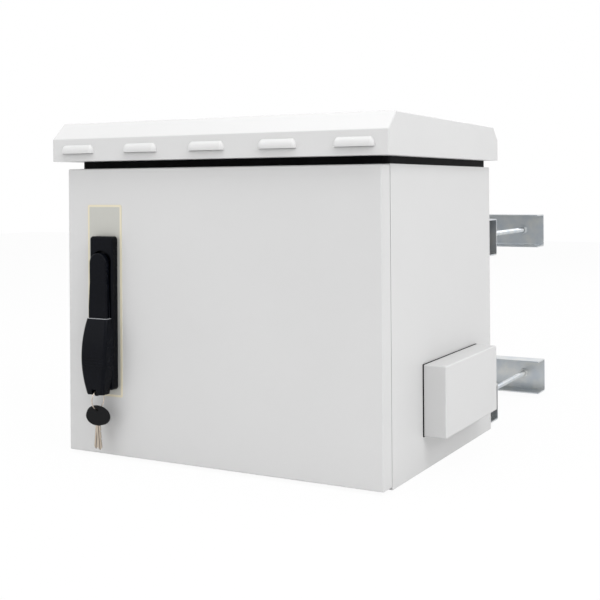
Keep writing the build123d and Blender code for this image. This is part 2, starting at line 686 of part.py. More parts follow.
def earth_stud():
    """A stud welded to the left wall, with two nuts and a washer."""
    wall_x = WALL - HALF
    stud = rod(EARTH_STUD_RADIUS, (wall_x, EARTH_STUD_Y, EARTH_STUD_Z),
               (wall_x + EARTH_STUD_LENGTH, EARTH_STUD_Y, EARTH_STUD_Z))
    nut = EARTH_STUD_RADIUS * NUT_SHARE
    bore = EARTH_STUD_RADIUS + PIN_FIT
    first, second = wall_x, wall_x + nut + WALL
    pieces = [stud]
    for x in (first, second):
        pieces.append(hexagon(WALL_BOLT_FLATS, nut, bore, (x, EARTH_STUD_Y, EARTH_STUD_Z), (1, 0, 0)))
    pieces.append(washer(WASHER_RADIUS, bore, WALL, (first + nut, EARTH_STUD_Y, EARTH_STUD_Z), (1, 0, 0)))
    return Compound(pieces)


nodes["vent_hood"] = vent_hood()
nodes["hood_gasket"] = hood_gasket()
nodes["hood_nuts"] = hood_nuts()
nodes["filter_frame"] = filter_frame()
nodes["filter_mat"] = filter_mat()
nodes["earth_stud"] = earth_stud()

# Rain roof: a folded canopy with pressed louvres, on a tray that stands on a rubber seal
ROOF_EAVE_Z = ROOF_BOTTOM_Z + ROOF_FASCIA
ROOF_RIDGE_Z = ROOF_EAVE_Z + ROOF_RISE
SEAL_HALF = HALF - ROOF_SEAL_INSET
SEAL_BACK_Y = ROOF_BACK_Y - 2 * WALL
SEAL_DEPTH = SEAL_BACK_Y - FRONT_Y
SEAL_CENTRE_Y = (SEAL_BACK_Y + FRONT_Y) / 2


def louvre_blank(length, reach, height, low, inward):
    """The outside or the inside of one louvre: a quarter round hood with domed ends."""
    crown = ThreePointArc((reach, low), (reach * LOUVRE_CROWN_OUT, height * LOUVRE_CROWN_UP), (0, height))
    outline = Polyline((0, height), (-inward, height), (-inward, low), (reach, low))
    section = make_face(Curve() + [crown, outline])
    straight = length / 2 - LOUVRE_DEPTH
    middle = extrude(Plane((-straight, 0, 0), x_dir=(0, -1, 0), z_dir=(-1, 0, 0)) * section, -2 * straight)
    dome_outline = Polyline((0, height), (0, low), (reach, low))
    dome = revolve(Plane.XZ * make_face(Curve() + [crown, dome_outline]), Axis.Z)
    return middle + Pos(-straight, 0, 0) * dome + Pos(straight, 0, 0) * dome


def roof_canopy():
    """Front fascia, slopes, top, back and sides in one folded sheet, open below, with a row of louvres."""
    profile = Polygon((ROOF_FRONT_Y, ROOF_BOTTOM_Z), (ROOF_BACK_Y, ROOF_BOTTOM_Z), (ROOF_BACK_Y, ROOF_EAVE_Z),
                      (ROOF_BACK_Y - ROOF_BACK_RUN, ROOF_RIDGE_Z - ROOF_FALL),
                      (ROOF_FRONT_Y + ROOF_FRONT_RUN, ROOF_RIDGE_Z),
                      (ROOF_FRONT_Y, ROOF_EAVE_Z), align=None)
    blank = extrude(Plane((-ROOF_HALF, 0, 0), x_dir=(0, 1, 0), z_dir=(1, 0, 0)) * profile, 2 * ROOF_HALF)
    bends = ShapeList(edge for edge in blank.edges() if edge.bounding_box().max.Z > ROOF_BOTTOM_Z + WALL)
    blank = fillet(bends, BEND)
    underside = blank.faces().sort_by(Axis.Z)[0]
    canopy = offset(blank, -WALL, openings=underside)
    front_half = block(-ROOF_HALF, ROOF_HALF, -2 * LOUVRE_DEPTH, WALL / 2, -ROOF_FASCIA, ROOF_FASCIA)
    hood = louvre_blank(LOUVRE_LENGTH, LOUVRE_DEPTH, LOUVRE_HEIGHT, 0, WALL) & front_half
    throat = louvre_blank(LOUVRE_LENGTH, LOUVRE_DEPTH - WALL, LOUVRE_HEIGHT - WALL, -FIT, 2 * WALL)
    for index in range(LOUVRE_COUNT):
        x = (index - (LOUVRE_COUNT - 1) / 2) * LOUVRE_PITCH
        place = Pos(x, ROOF_FRONT_Y, ROOF_BOTTOM_Z + LOUVRE_SILL)
        canopy = canopy + place * hood - place * throat
    return canopy


def roof_tray():
    """The plate that closes the roof's overhang from below and stands on the seal."""
    outer_width = 2 * (ROOF_HALF - WALL)
    low_y, high_y = ROOF_FRONT_Y + WALL, ROOF_BACK_Y - WALL
    face = Pos(0, (low_y + high_y) / 2) * RectangleRounded(outer_width, high_y - low_y, BEND - WALL)
    land = ROOF_SEAL_WIDTH + ROOF_TRAY_LAND
    opening = Rectangle(2 * (SEAL_HALF - land), SEAL_DEPTH - 2 * land)
    tray = extrude(Pos(0, 0, ROOF_BOTTOM_Z) * (face - Pos(0, SEAL_CENTRE_Y) * opening), WALL)
    for x, y in roof_bolt_places():
        low, high = ROOF_BOTTOM_Z - WALL, ROOF_BOTTOM_Z + 2 * WALL
        tray -= rod(ROOF_BOLT_RADIUS + PIN_FIT, (x, y, low), (x, y, high))
    return tray


def roof_seal():
    """A black rubber frame that closes the gap between the body and the roof."""
    face = RectangleRounded(2 * SEAL_HALF, SEAL_DEPTH, ROOF_SEAL_CORNER)
    inner = RectangleRounded(2 * (SEAL_HALF - ROOF_SEAL_WIDTH), SEAL_DEPTH - 2 * ROOF_SEAL_WIDTH, BEND)
    return extrude(Pos(0, SEAL_CENTRE_Y, BODY_HEIGHT) * (face - inner), ROOF_GAP)


def roof_spacers():
    """Four tubes that keep the roof at its height where its bolts pass."""
    bore = ROOF_BOLT_RADIUS + PIN_FIT
    return Compound([washer(ROOF_SPACER_RADIUS, bore, ROOF_GAP, (x, y, BODY_HEIGHT), (0, 0, 1))
                     for x, y in roof_bolt_places()])


def roof_bolts():
    """Bolts from inside the body up through the spacers into the tray, with their nuts."""
    pieces = []
    for x, y in roof_bolt_places():
        grip = WALL + ROOF_GAP + WALL
        pieces += fastener((x, y, BODY_HEIGHT - WALL), (0, 0, 1), ROOF_BOLT_RADIUS, RAIL_SCREW_FLATS, grip, 0)
    return Compound(pieces)


nodes["roof_canopy"] = roof_canopy()
nodes["roof_tray"] = roof_tray()
nodes["roof_seal"] = roof_seal()
nodes["roof_spacers"] = roof_spacers()
nodes["roof_bolts"] = roof_bolts()

# Hinges hidden inside the door: an arm on the gutter lip, a leaf on the door's side and a pin through both
KNUCKLE_HALF = HINGE_KNUCKLE_HEIGHT / 2
LEAF_HALF = 3 * KNUCKLE_HALF + HINGE_GAP
LIP_OUTER_X = RIM_OPEN_WIDTH / 2 + WALL


def hinge_bore(z):
    """The bore for one hinge's pin, for cutting."""
    low, high = z - LEAF_HALF, z + LEAF_HALF
    return rod(HINGE_PIN_RADIUS + PIN_FIT, (HINGE_X, HINGE_Y, low), (HINGE_X, HINGE_Y, high))


def hinge_arm(z):
    """A cranked arm from the outside of the gutter lip to its knuckle on the hinge line."""
    plane = Plane((0, 0, z - KNUCKLE_HALF))
    corners = [(LIP_OUTER_X, FRONT_Y), (LIP_OUTER_X, LIP_TIP_Y), (HINGE_X, LIP_TIP_Y)]
    arm = folded_sheet(plane, corners, HINGE_ARM_THICKNESS, BEND, HINGE_KNUCKLE_HEIGHT)
    knuckle = Pos(HINGE_X, HINGE_Y) * Circle(HINGE_KNUCKLE_RADIUS)
    arm += extrude(plane * knuckle, HINGE_KNUCKLE_HEIGHT)
    return arm - hinge_bore(z)


def hinge_leaf(z):
    """A leaf inside the door's side flange, with a knuckle above the arm and one below."""
    leaf_x = HALF - WALL
    leaf_front = DOOR_INNER_Y + DOOR_BEND - WALL
    leaf = block(leaf_x - HINGE_ARM_THICKNESS, leaf_x, leaf_front, HINGE_Y, z - LEAF_HALF, z + LEAF_HALF)
    leaf += rod(HINGE_KNUCKLE_RADIUS, (HINGE_X, HINGE_Y, z - LEAF_HALF), (HINGE_X, HINGE_Y, z + LEAF_HALF))
    arm_room = KNUCKLE_HALF + HINGE_GAP
    front_of_room = HINGE_Y - HINGE_KNUCKLE_RADIUS - 2 * HINGE_GAP
    leaf -= block(HINGE_X - HINGE_INSET, leaf_x + WALL, front_of_room, HINGE_Y + HINGE_KNUCKLE_RADIUS + WALL,
                  z - arm_room, z + arm_room)
    return leaf - hinge_bore(z)


def hinge_pin(z):
    """The hinge pin with a thin head at its top."""
    top = (HINGE_X, HINGE_Y, z + LEAF_HALF + HINGE_GAP)
    pin = rod(HINGE_PIN_RADIUS, (HINGE_X, HINGE_Y, z - LEAF_HALF - HINGE_GAP), top)
    return pin + pan_head(HINGE_KNUCKLE_RADIUS - HINGE_GAP, WALL, top, (0, 0, 1))


nodes["hinge_arms"] = Compound([hinge_arm(height) for height in HINGE_HEIGHTS.values()])
nodes["hinge_leaves"] = Compound([hinge_leaf(height) for height in HINGE_HEIGHTS.values()])
nodes["hinge_pins"] = Compound([hinge_pin(height) for height in HINGE_HEIGHTS.values()])

# Door: a folded pan with returns at its rear edge, a stiffener and a foamed gasket
CLAMP_Z = SWIVEL_HEIGHT - CLAMP_DROP
CLAMP_SCREW_HEIGHTS = [CLAMP_Z - CLAMP_SCREW_PITCH / 2, CLAMP_Z + CLAMP_SCREW_PITCH / 2]


def handle_openings(neck_radius):
    """Holes for the handle's neck and its clamp screws, as one sketch in a plane along the door."""
    holes = Pos(HANDLE_X, SWIVEL_HEIGHT) * Circle(neck_radius)
    for z in CLAMP_SCREW_HEIGHTS:
        holes += Pos(HANDLE_X, z) * Circle(CLAMP_SCREW_RADIUS + FIT)
    return holes


def door_panel():
    """The door: a face with four folded sides, and returns that are notched for the hinge arms."""
    plane = front_plane(DOOR_REAR_Y) * Pos(0, DOOR_CENTRE_Z)
    blank = extrude(plane * RectangleRounded(WIDTH, DOOR_HEIGHT, DOOR_CORNER), DOOR_THICKNESS)
    blank = fillet(blank.faces().sort_by(Axis.Y)[0].edges(), DOOR_BEND)
    panel = offset(blank, -WALL, openings=blank.faces().sort_by(Axis.Y)[-1])
    panel += frame_ring(plane, WIDTH - WALL, DOOR_HEIGHT - WALL, WIDTH - 2 * DOOR_RETURN,
                        DOOR_HEIGHT - 2 * DOOR_RETURN, WALL, WALL / 2)
    notch = KNUCKLE_HALF + HINGE_NOTCH
    notch_x = HALF - DOOR_RETURN - WALL
    for z in HINGE_HEIGHTS.values():
        panel -= block(notch_x, HALF - WALL, DOOR_REAR_Y - 2 * WALL, FRONT_Y, z - notch, z + notch)
    return panel - extrude(door_plane(0) * handle_openings(NECK_RADIUS + FIT), 2 * WALL, both=True)


def door_gasket():
    """The rubber frame inside the door that the gutter lip presses on."""
    lip_line_width = RIM_OPEN_WIDTH + WALL
    lip_line_height = RIM_OPEN_HEIGHT + WALL
    plane = front_plane(DOOR_INNER_Y) * Pos(0, RIM_CENTRE_Z)
    return frame_ring(plane, lip_line_width + DOOR_GASKET_WIDTH, lip_line_height + DOOR_GASKET_WIDTH,
                      lip_line_width - DOOR_GASKET_WIDTH, lip_line_height - DOOR_GASKET_WIDTH,
                      -DOOR_GASKET_HEIGHT, BEND)


def door_stiffener():
    """A hat profile welded upright inside the door."""
    crown = STIFFENER_WIDTH / 2
    foot = crown + STIFFENER_FLANGE
    crown_y = DOOR_INNER_Y + STIFFENER_DEPTH
    corners = [(-foot, DOOR_INNER_Y), (-crown, DOOR_INNER_Y), (-crown, crown_y), (crown, crown_y),
               (crown, DOOR_INNER_Y), (foot, DOOR_INNER_Y)]
    plane = Plane((0, 0, DOOR_FOOT + STIFFENER_MARGIN))
    return folded_sheet(plane, corners, WALL, BEND, DOOR_HEIGHT - 2 * STIFFENER_MARGIN)


def label_plate():
    """The thin bare plate behind the handle."""
    centre_z = SWIVEL_HEIGHT - LABEL_BELOW + LABEL_HEIGHT / 2
    face = Pos(HANDLE_X + LABEL_SHIFT, centre_z) * RectangleRounded(LABEL_WIDTH, LABEL_HEIGHT, BEND)
    return extrude(door_plane(0) * (face - handle_openings(NECK_RADIUS + FIT)), LABEL_THICKNESS)


nodes["door_panel"] = door_panel()
nodes["door_gasket"] = door_gasket()
nodes["door_stiffener"] = door_stiffener()
nodes["label_plate"] = label_plate()

# Swing handle: a base on the door, a hub that turns in it and a lever that lifts on the hub's pin
SWIVEL = Pos(HANDLE_X, SWIVEL_HEIGHT)


def depth_block(x_half, z_low, z_high, near, far):
    """A block on the handle's centre line, between two distances from the door's face."""
    return block(HANDLE_X - x_half, HANDLE_X + x_half, DOOR_FACE_Y - far, DOOR_FACE_Y - near,
                 SWIVEL_HEIGHT + z_low, SWIVEL_HEIGHT + z_high)


def cross_rod(radius, half_length, z, distance):
    """A round bar across the handle's centre line."""
    y = DOOR_FACE_Y - distance
    return rod(radius, (HANDLE_X - half_length, y, z), (HANDLE_X + half_length, y, z))


def handle_base():
    """The moulded base, with a round well for the hub, a nest for the lever and a threaded neck."""
    centre = Pos(HANDLE_X, SWIVEL_HEIGHT - HANDLE_BASE_BELOW + HANDLE_BASE_HEIGHT / 2)
    outline = centre * RectangleRounded(HANDLE_BASE_WIDTH, HANDLE_BASE_HEIGHT, HANDLE_BASE_CORNER)
    base = extrude(door_plane(LABEL_THICKNESS) * outline, HANDLE_BASE_FACE - LABEL_THICKNESS)
    base = fillet(base.faces().sort_by(Axis.Y)[0].edges(), HANDLE_EDGE)
    nest_height = HANDLE_BASE_BELOW - NEST_MARGIN
    nest = RectangleRounded(NEST_WIDTH, nest_height, HANDLE_BASE_CORNER)
    base -= extrude(door_plane(HANDLE_BASE_FACE) * SWIVEL * Pos(0, -nest_height / 2) * nest, -NEST_DEPTH)
    base -= extrude(door_plane(WELL_FLOOR) * SWIVEL * Circle(WELL_RADIUS), HANDLE_BASE_FACE)
    neck_length = NECK_LENGTH + WALL + LABEL_THICKNESS
    base += extrude(door_plane(LABEL_THICKNESS) * SWIVEL * Circle(NECK_RADIUS), -neck_length)
    base -= extrude(door_plane(WELL_FLOOR) * SWIVEL * Circle(SPINDLE_HOLE_RADIUS), 4 * NECK_LENGTH, both=True)
    for z in CLAMP_SCREW_HEIGHTS:
        hole_end = (HANDLE_X, DOOR_FACE_Y - CLAMP_SCREW_DEPTH, z)
        base -= rod(CLAMP_SCREW_RADIUS + PIN_FIT, (HANDLE_X, DOOR_FACE_Y, z), hole_end)
    return base


def handle_ring_nut():
    """The round nut on the base's neck inside the door."""
    ring = Circle(RING_NUT_RADIUS) - Circle(NECK_RADIUS + PIN_FIT)
    return extrude(front_plane(DOOR_INNER_Y) * SWIVEL * ring, -RING_NUT_THICKNESS)


def handle_clamp():
    """The plate inside the door that the lower screws pull against."""
    face = Pos(HANDLE_X, CLAMP_Z) * RectangleRounded(CLAMP_PLATE_WIDTH, CLAMP_PLATE_LENGTH, BEND)
    for z in CLAMP_SCREW_HEIGHTS:
        face -= Pos(HANDLE_X, z) * Circle(CLAMP_SCREW_RADIUS + PIN_FIT)
    return extrude(front_plane(DOOR_INNER_Y) * face, -CLAMP_PLATE_THICKNESS)


def clamp_screws():
    """Screws from inside the door through the clamp plate into the base."""
    pieces = []
    seat_y = DOOR_INNER_Y + CLAMP_PLATE_THICKNESS
    for z in CLAMP_SCREW_HEIGHTS:
        tip = (HANDLE_X, DOOR_FACE_Y - CLAMP_SCREW_DEPTH + FIT, z)
        shank = rod(CLAMP_SCREW_RADIUS, (HANDLE_X, seat_y, z), tip)
        head = pan_head(2 * CLAMP_SCREW_RADIUS, CLAMP_SCREW_RADIUS, (HANDLE_X, seat_y, z), (0, 1, 0))
        pieces.append(shank + head)
    return Compound(pieces)


def handle_hub():
    """The disc that turns in the base's well, with two ears for the lever's pin."""
    floor = WELL_FLOOR + FIT
    hub = extrude(door_plane(floor) * SWIVEL * Circle(HUB_RADIUS), HUB_THICKNESS)
    inner = LEVER_LUG_WIDTH / 2 + FIT
    outer = inner + LEVER_EAR_WIDTH
    for side in SIDES.values():
        centre_x = HANDLE_X + side * (inner + outer) / 2
        ear = block(centre_x - LEVER_EAR_WIDTH / 2, centre_x + LEVER_EAR_WIDTH / 2,
                    DOOR_FACE_Y - LEVER_PIN_DEPTH, DOOR_FACE_Y - floor,
                    SWIVEL_HEIGHT - LEVER_EAR_RADIUS, SWIVEL_HEIGHT + LEVER_EAR_RADIUS)
        y = DOOR_FACE_Y - LEVER_PIN_DEPTH
        hub += ear + rod(LEVER_EAR_RADIUS, (centre_x - LEVER_EAR_WIDTH / 2, y, SWIVEL_HEIGHT),
                         (centre_x + LEVER_EAR_WIDTH / 2, y, SWIVEL_HEIGHT))
    return hub - cross_rod(LEVER_PIN_RADIUS + PIN_FIT, outer + WALL, SWIVEL_HEIGHT, LEVER_PIN_DEPTH)


def lever_pin():
    """The pin that the lever lifts on."""
    half_length = LEVER_LUG_WIDTH / 2 + FIT + LEVER_EAR_WIDTH
    return cross_rod(LEVER_PIN_RADIUS, half_length, SWIVEL_HEIGHT, LEVER_PIN_DEPTH)


def lever_outline():
    """The bar of the lever from the front: a round top, a waist, and a slim foot inside the cover."""
    slim = LEVER_STEP + LEVER_WAIST_HALF - LEVER_SLIM_HALF
    foot = EYE_WIDTH / 2 + LEVER_EDGE
    left = [(-LEVER_TOP_HALF, 0), (-LEVER_TOP_HALF, -LEVER_STRAIGHT), (-LEVER_WAIST_HALF, -LEVER_WAIST),
            (-LEVER_WAIST_HALF, -LEVER_STEP), (-LEVER_SLIM_HALF, -slim),
            (-LEVER_SLIM_HALF, foot - LEVER_FOOT), (-foot, -LEVER_FOOT)]
    right = [(-x, z) for x, z in reversed(left)]
    return Polygon(*left, *right, align=None) + Circle(LEVER_TOP_HALF)


def handle_lever():
    """The lever's bar, with its lug on the pin, side grooves for the cover, a lock boss and a key eye."""
    lever = extrude(door_plane(LEVER_BACK) * SWIVEL * lever_outline(), LEVER_FRONT - LEVER_BACK)
    lever = fillet(lever.faces().sort_by(Axis.Y)[0].edges(), LEVER_EDGE)
    lug_radius = LEVER_BACK - LEVER_PIN_DEPTH - FIT
    lever += cross_rod(lug_radius, LEVER_LUG_WIDTH / 2, SWIVEL_HEIGHT, LEVER_PIN_DEPTH)
    lever += depth_block(LEVER_LUG_WIDTH / 2, -lug_radius, lug_radius, LEVER_PIN_DEPTH, LEVER_BACK + WALL)
    lever -= cross_rod(LEVER_PIN_RADIUS + PIN_FIT, LEVER_LUG_WIDTH, SWIVEL_HEIGHT, LEVER_PIN_DEPTH)
    for side in SIDES.values():
        groove_x = HANDLE_X + side * LEVER_WAIST_HALF
        lever -= block(groove_x - GROOVE_DEPTH, groove_x + GROOVE_DEPTH, DOOR_FACE_Y - GROOVE_FRONT,
                       DOOR_FACE_Y - GROOVE_BACK, SWIVEL_HEIGHT - LEVER_STEP - LEVER_SLIM_HALF,
                       SWIVEL_HEIGHT - LEVER_STRAIGHT)
    lock = Pos(HANDLE_X, SWIVEL_HEIGHT - LOCK_DROP)
    boss = lock * Circle(LOCK_RADIUS + LOCK_BOSS_WALL)
    lever += extrude(door_plane(LEVER_BACK) * boss, LOCK_FACE - 1 - LEVER_BACK)
    lever -= extrude(door_plane(LEVER_BACK) * lock * Circle(LOCK_RADIUS + PIN_FIT), 2 * LOCK_FACE, both=True)
    tab_top = LOCK_DROP + LOCK_RADIUS + LOCK_BOSS_WALL / 2
    tab_bottom = LEVER_FOOT + 1.5 * EYE_DROP
    tab = RectangleRounded(EYE_WIDTH, tab_bottom - tab_top, EYE_WIDTH / 2 - WALL / 2)
    tab_place = Pos(HANDLE_X, SWIVEL_HEIGHT - (tab_top + tab_bottom) / 2)
    lever += extrude(door_plane(EYE_BACK) * tab_place * tab, EYE_FRONT - EYE_BACK)
    eye = Pos(HANDLE_X, SWIVEL_HEIGHT - LEVER_FOOT - EYE_DROP / 2) * Circle(EYE_RADIUS)
    return lever - extrude(door_plane(0) * eye, 2 * EYE_FRONT)


def bulge(drop, top, middle, bottom):
    """A size that runs along the cover as a parabola through its top, its bulge and its bottom."""
    a, b, c = COVER_TOP, COVER_BULGE, COVER_BOTTOM
    return (top * (drop - b) * (drop - c) / ((a - b) * (a - c))
            + middle * (drop - a) * (drop - c) / ((b - a) * (b - c))
            + bottom * (drop - a) * (drop - b) / ((c - a) * (c - b)))


def cover_section(drop):
    """One level section of the cover: a rounded rectangle that reaches behind the lever's back."""
    half = bulge(drop, COVER_TOP_HALF, COVER_BULGE_HALF, COVER_BOTTOM_HALF)
    front = bulge(drop, COVER_TOP_FRONT, COVER_BULGE_FRONT, COVER_BOTTOM_FRONT)
    back = LEVER_BACK - 2 * COVER_ROUND
    centre = Plane((HANDLE_X, DOOR_FACE_Y - (front + back) / 2, SWIVEL_HEIGHT - drop))
    return centre * RectangleRounded(2 * half, front - back, COVER_ROUND)


def lock_cover():
    """The fat grip that slides up the lever: a hollow moulding with a notch for the key ring."""
    span = COVER_BOTTOM - COVER_TOP
    sections = [cover_section(COVER_TOP + span * step / COVER_SECTIONS) for step in range(COVER_SECTIONS + 1)]
    cover = loft(sections)
    reach = 2 * COVER_BULGE_HALF
    cover -= depth_block(reach, -2 * COVER_BOTTOM, 0, -reach, LEVER_BACK)
    wide = LEVER_WAIST_HALF + COVER_FIT
    slim = LEVER_SLIM_HALF + COVER_FIT
    cover -= depth_block(wide, -COVER_CAVITY_STEP, 0, 0, LEVER_FRONT + COVER_FIT)
    slim_top = LOCK_BOSS_WALL - COVER_CAVITY_STEP
    cover -= depth_block(slim, -2 * COVER_BOTTOM, slim_top, 0, LOCK_FACE + COVER_FIT)
    cover -= depth_block(COVER_NOTCH / 2, -2 * COVER_BOTTOM, COVER_NOTCH - COVER_BOTTOM, 0, reach)
    for side in SIDES.values():
        x = sorted((HANDLE_X + side * (wide + WALL), HANDLE_X + side * (wide - GROOVE_DEPTH)))
        cover += block(*x, DOOR_FACE_Y - GROOVE_FRONT + COVER_FIT, DOOR_FACE_Y - GROOVE_BACK - COVER_FIT,
                       SWIVEL_HEIGHT - LEVER_STEP + COVER_FIT, SWIVEL_HEIGHT - COVER_TOP - COVER_ROUND)
    for index in range(GRIP_RIDGE_COUNT):
        drop = GRIP_RIDGE_TOP + index * GRIP_RIDGE_PITCH
        front = bulge(drop, COVER_TOP_FRONT, COVER_BULGE_FRONT, COVER_BOTTOM_FRONT)
        distance = front + GRIP_RIDGE_RADIUS / 2
        cover -= cross_rod(GRIP_RIDGE_RADIUS, 2 * COVER_BULGE_HALF, SWIVEL_HEIGHT - drop, distance)
    return cover


def lock_cylinder():
    """The lock's barrel with its keyway."""
    lock = Pos(HANDLE_X, SWIVEL_HEIGHT - LOCK_DROP)
    barrel = extrude(door_plane(LOCK_BACK) * lock * Circle(LOCK_RADIUS), LOCK_FACE - LOCK_BACK)
    keyway = lock * Rectangle(KEYWAY_WIDTH, KEYWAY_HEIGHT)
    return barrel - extrude(door_plane(LOCK_FACE - KEYWAY_DEPTH) * keyway, 2 * KEYWAY_DEPTH)


# Latch: a square spindle on the hub and a cam behind the rim
CAM_FRONT_Y = FRONT_Y + CAM_BEHIND_RIM
CAM_BACK_Y = CAM_FRONT_Y + CAM_THICKNESS


def spindle():
    """The square spindle from the hub to the cam."""
    start = DOOR_FACE_Y - WELL_FLOOR - FIT
    square = Rectangle(SPINDLE_SIDE, SPINDLE_SIDE)
    return extrude(front_plane(CAM_BACK_Y) * SWIVEL * square, CAM_BACK_Y - start)


def latch_cam():
    """The cam, whose tongue points at the rim and stops just short of the gutter lip."""
    tip_x = -RIM_OPEN_WIDTH / 2 + CAM_CLEARANCE + CAM_TIP_HALF
    hub = SWIVEL * Circle(CAM_HUB_RADIUS)
    tongue = Pos(tip_x, SWIVEL_HEIGHT) * Circle(CAM_TIP_HALF)
    square = SPINDLE_SIDE + 2 * PIN_FIT
    outline = make_hull((hub + tongue).edges()) - SWIVEL * Rectangle(square, square)
    return extrude(front_plane(CAM_BACK_Y) * outline, CAM_THICKNESS)


def cam_screw():
    """The screw and washer that hold the cam on the spindle."""
    head_y = CAM_BACK_Y + WALL
    screw = hexagon(RAIL_SCREW_FLATS, CAM_SCREW_HEAD, 0, (HANDLE_X, head_y, SWIVEL_HEIGHT), (0, 1, 0))
    return screw + extrude(front_plane(head_y) * SWIVEL * Circle(CAM_HUB_RADIUS - 1), WALL)


nodes["handle_base"] = handle_base()
nodes["handle_ring_nut"] = handle_ring_nut()
nodes["handle_clamp"] = handle_clamp()
nodes["clamp_screws"] = clamp_screws()
nodes["handle_hub"] = handle_hub()
nodes["lever_pin"] = lever_pin()
nodes["handle_lever"] = handle_lever()
nodes["lock_cover"] = lock_cover()
nodes["lock_cylinder"] = lock_cylinder()
nodes["spindle"] = spindle()
nodes["latch_cam"] = latch_cam()
nodes["cam_screw"] = cam_screw()

# Two keys on a wire ring that hangs from the lever's eye
EYE_DEPTH = (EYE_BACK + EYE_FRONT) / 2
EYE_Z = SWIVEL_HEIGHT - LEVER_FOOT - EYE_DROP / 2


def ring_rise(reach):
    """How far the ring's wire has risen at a distance to either side of its lowest or highest point."""
    return RING_RADIUS - sqrt(RING_RADIUS**2 - reach**2)


RING_DROP = EYE_RADIUS - RING_WIRE_RADIUS - FIT - ring_rise((EYE_FRONT - EYE_BACK) / 2)
RING_CENTRE_Z = EYE_Z - RING_DROP - RING_RADIUS
KEY_DROP = KEY_HOLE_RADIUS - RING_WIRE_RADIUS - FIT - ring_rise(KEY_GAP / 2 + KEY_HEAD_THICKNESS)
KEY_HOLE_Z = RING_CENTRE_Z - RING_RADIUS - KEY_DROP


def key_ring():
    """The wire ring, upright and square to the door."""
    centre = (HANDLE_X, DOOR_FACE_Y - EYE_DEPTH, RING_CENTRE_Z)
    return Plane(centre, z_dir=(1, 0, 0)) * Torus(RING_RADIUS, RING_WIRE_RADIUS)


def flat_key(turn):
    """One key with an oval moulded head and a cut blade, turned about its hole."""
    head_z = KEY_HOLE_EDGE - KEY_HEAD_HEIGHT / 2
    neck_z = KEY_HOLE_EDGE - KEY_HEAD_HEIGHT + WALL
    tip_z = neck_z - WALL - KEY_BLADE_LENGTH
    head = Pos(0, head_z) * Ellipse(KEY_HEAD_WIDTH / 2, KEY_HEAD_HEIGHT / 2) - Circle(KEY_HOLE_RADIUS)
    half = KEY_BLADE_WIDTH / 2
    blade = Polygon((half, neck_z), (-half, neck_z), (-half, tip_z + half), (0, tip_z), (half, tip_z + half),
                    align=None)
    step = (KEY_BLADE_LENGTH - 2 * KEY_BLADE_WIDTH) / KEY_CUT_COUNT
    for index in range(KEY_CUT_COUNT):
        depth = KEY_CUT_DEPTH * (1 + index % 3) / 3
        place = Pos(half, tip_z + KEY_BLADE_WIDTH + (index + 0.5) * step)
        blade -= place * Rot(0, 0, 45) * Rectangle(depth, depth)
    upright = Plane((0, 0, 0), x_dir=(1, 0, 0), z_dir=(0, -1, 0)) * Rot(0, 0, turn)
    body = extrude(upright * head, KEY_HEAD_THICKNESS / 2, both=True)
    rims = body.edges().filter_by(lambda edge: edge.length > KEY_HEAD_WIDTH)
    body = chamfer(rims, KEY_HEAD_THICKNESS / 4)
    return body + extrude(upright * blade, KEY_BLADE_THICKNESS / 2, both=True)


nodes["key_ring"] = key_ring()
for name, side in {"front": 1, "rear": -1}.items():
    key_y = DOOR_FACE_Y - EYE_DEPTH - side * (KEY_HEAD_THICKNESS + KEY_GAP) / 2
    nodes[f"key_{name}"] = Pos(HANDLE_X, key_y, KEY_HOLE_Z) * flat_key(side * KEY_TURN)


# Pole clamp behind the cabinet
def clamp_channel(web_y, z, bolted):
    """A channel of bent sheet, open towards the cabinet, with holes in its web."""
    half = CHANNEL_HEIGHT / 2
    edge_y = web_y - CHANNEL_DEPTH
    corners = [(edge_y, z - half), (web_y, z - half), (web_y, z + half), (edge_y, z + half)]
    plane = Plane((-CHANNEL_LENGTH / 2, 0, 0), x_dir=(0, 1, 0), z_dir=(1, 0, 0))
    channel = folded_sheet(plane, corners, CHANNEL_SHEET, CHANNEL_BEND, CHANNEL_LENGTH)
    web = Plane((0, web_y, z), x_dir=(1, 0, 0), z_dir=(0, 1, 0))
    holes = copies(Circle(ROD_RADIUS + ROD_HOLE_CLEARANCE), [Pos(-ROD_X), Pos(ROD_X)])
    if bolted:
        holes += copies(Circle(WALL_BOLT_RADIUS + PIN_FIT), [Pos(-WALL_BOLT_X), Pos(WALL_BOLT_X)])
    return channel - extrude(web * holes, 2 * CHANNEL_SHEET, both=True)


def web_nuts(web_y, z):
    """A washer and a nut on each side of a channel's web, on both rods."""
    bore = ROD_RADIUS + NUT_FIT
    pieces = []
    for x in (-ROD_X, ROD_X):
        for seat_y, direction in ((web_y, (0, 1, 0)), (web_y - CHANNEL_SHEET, (0, -1, 0))):
            nut_y = seat_y + direction[1] * WASHER_THICKNESS
            pieces.append(washer(WASHER_RADIUS, bore, WASHER_THICKNESS, (x, seat_y, z), direction))
            pieces.append(hexagon(NUT_ACROSS_FLATS, NUT_THICKNESS, bore, (x, nut_y, z), direction))
    return pieces


def wall_bolts():
    """Bolts from inside the body through the back and the front channels' webs."""
    pieces = []
    for z in CHANNEL_HEIGHTS.values():
        for x in (-WALL_BOLT_X, WALL_BOLT_X):
            start, grip = (x, BACK_Y - WALL, z), WALL + CHANNEL_DEPTH
            pieces += fastener(start, (0, 1, 0), WALL_BOLT_RADIUS, WALL_BOLT_FLATS, grip, WALL)
    return Compound(pieces)


def clamp_rods():
    """Four threaded rods, two through each pair of channels."""
    return Compound([rod(ROD_RADIUS, (x, FRONT_WEB_Y - ROD_BEFORE, z), (x, REAR_WEB_Y + ROD_BEYOND, z))
                     for z in CHANNEL_HEIGHTS.values() for x in (-ROD_X, ROD_X)])


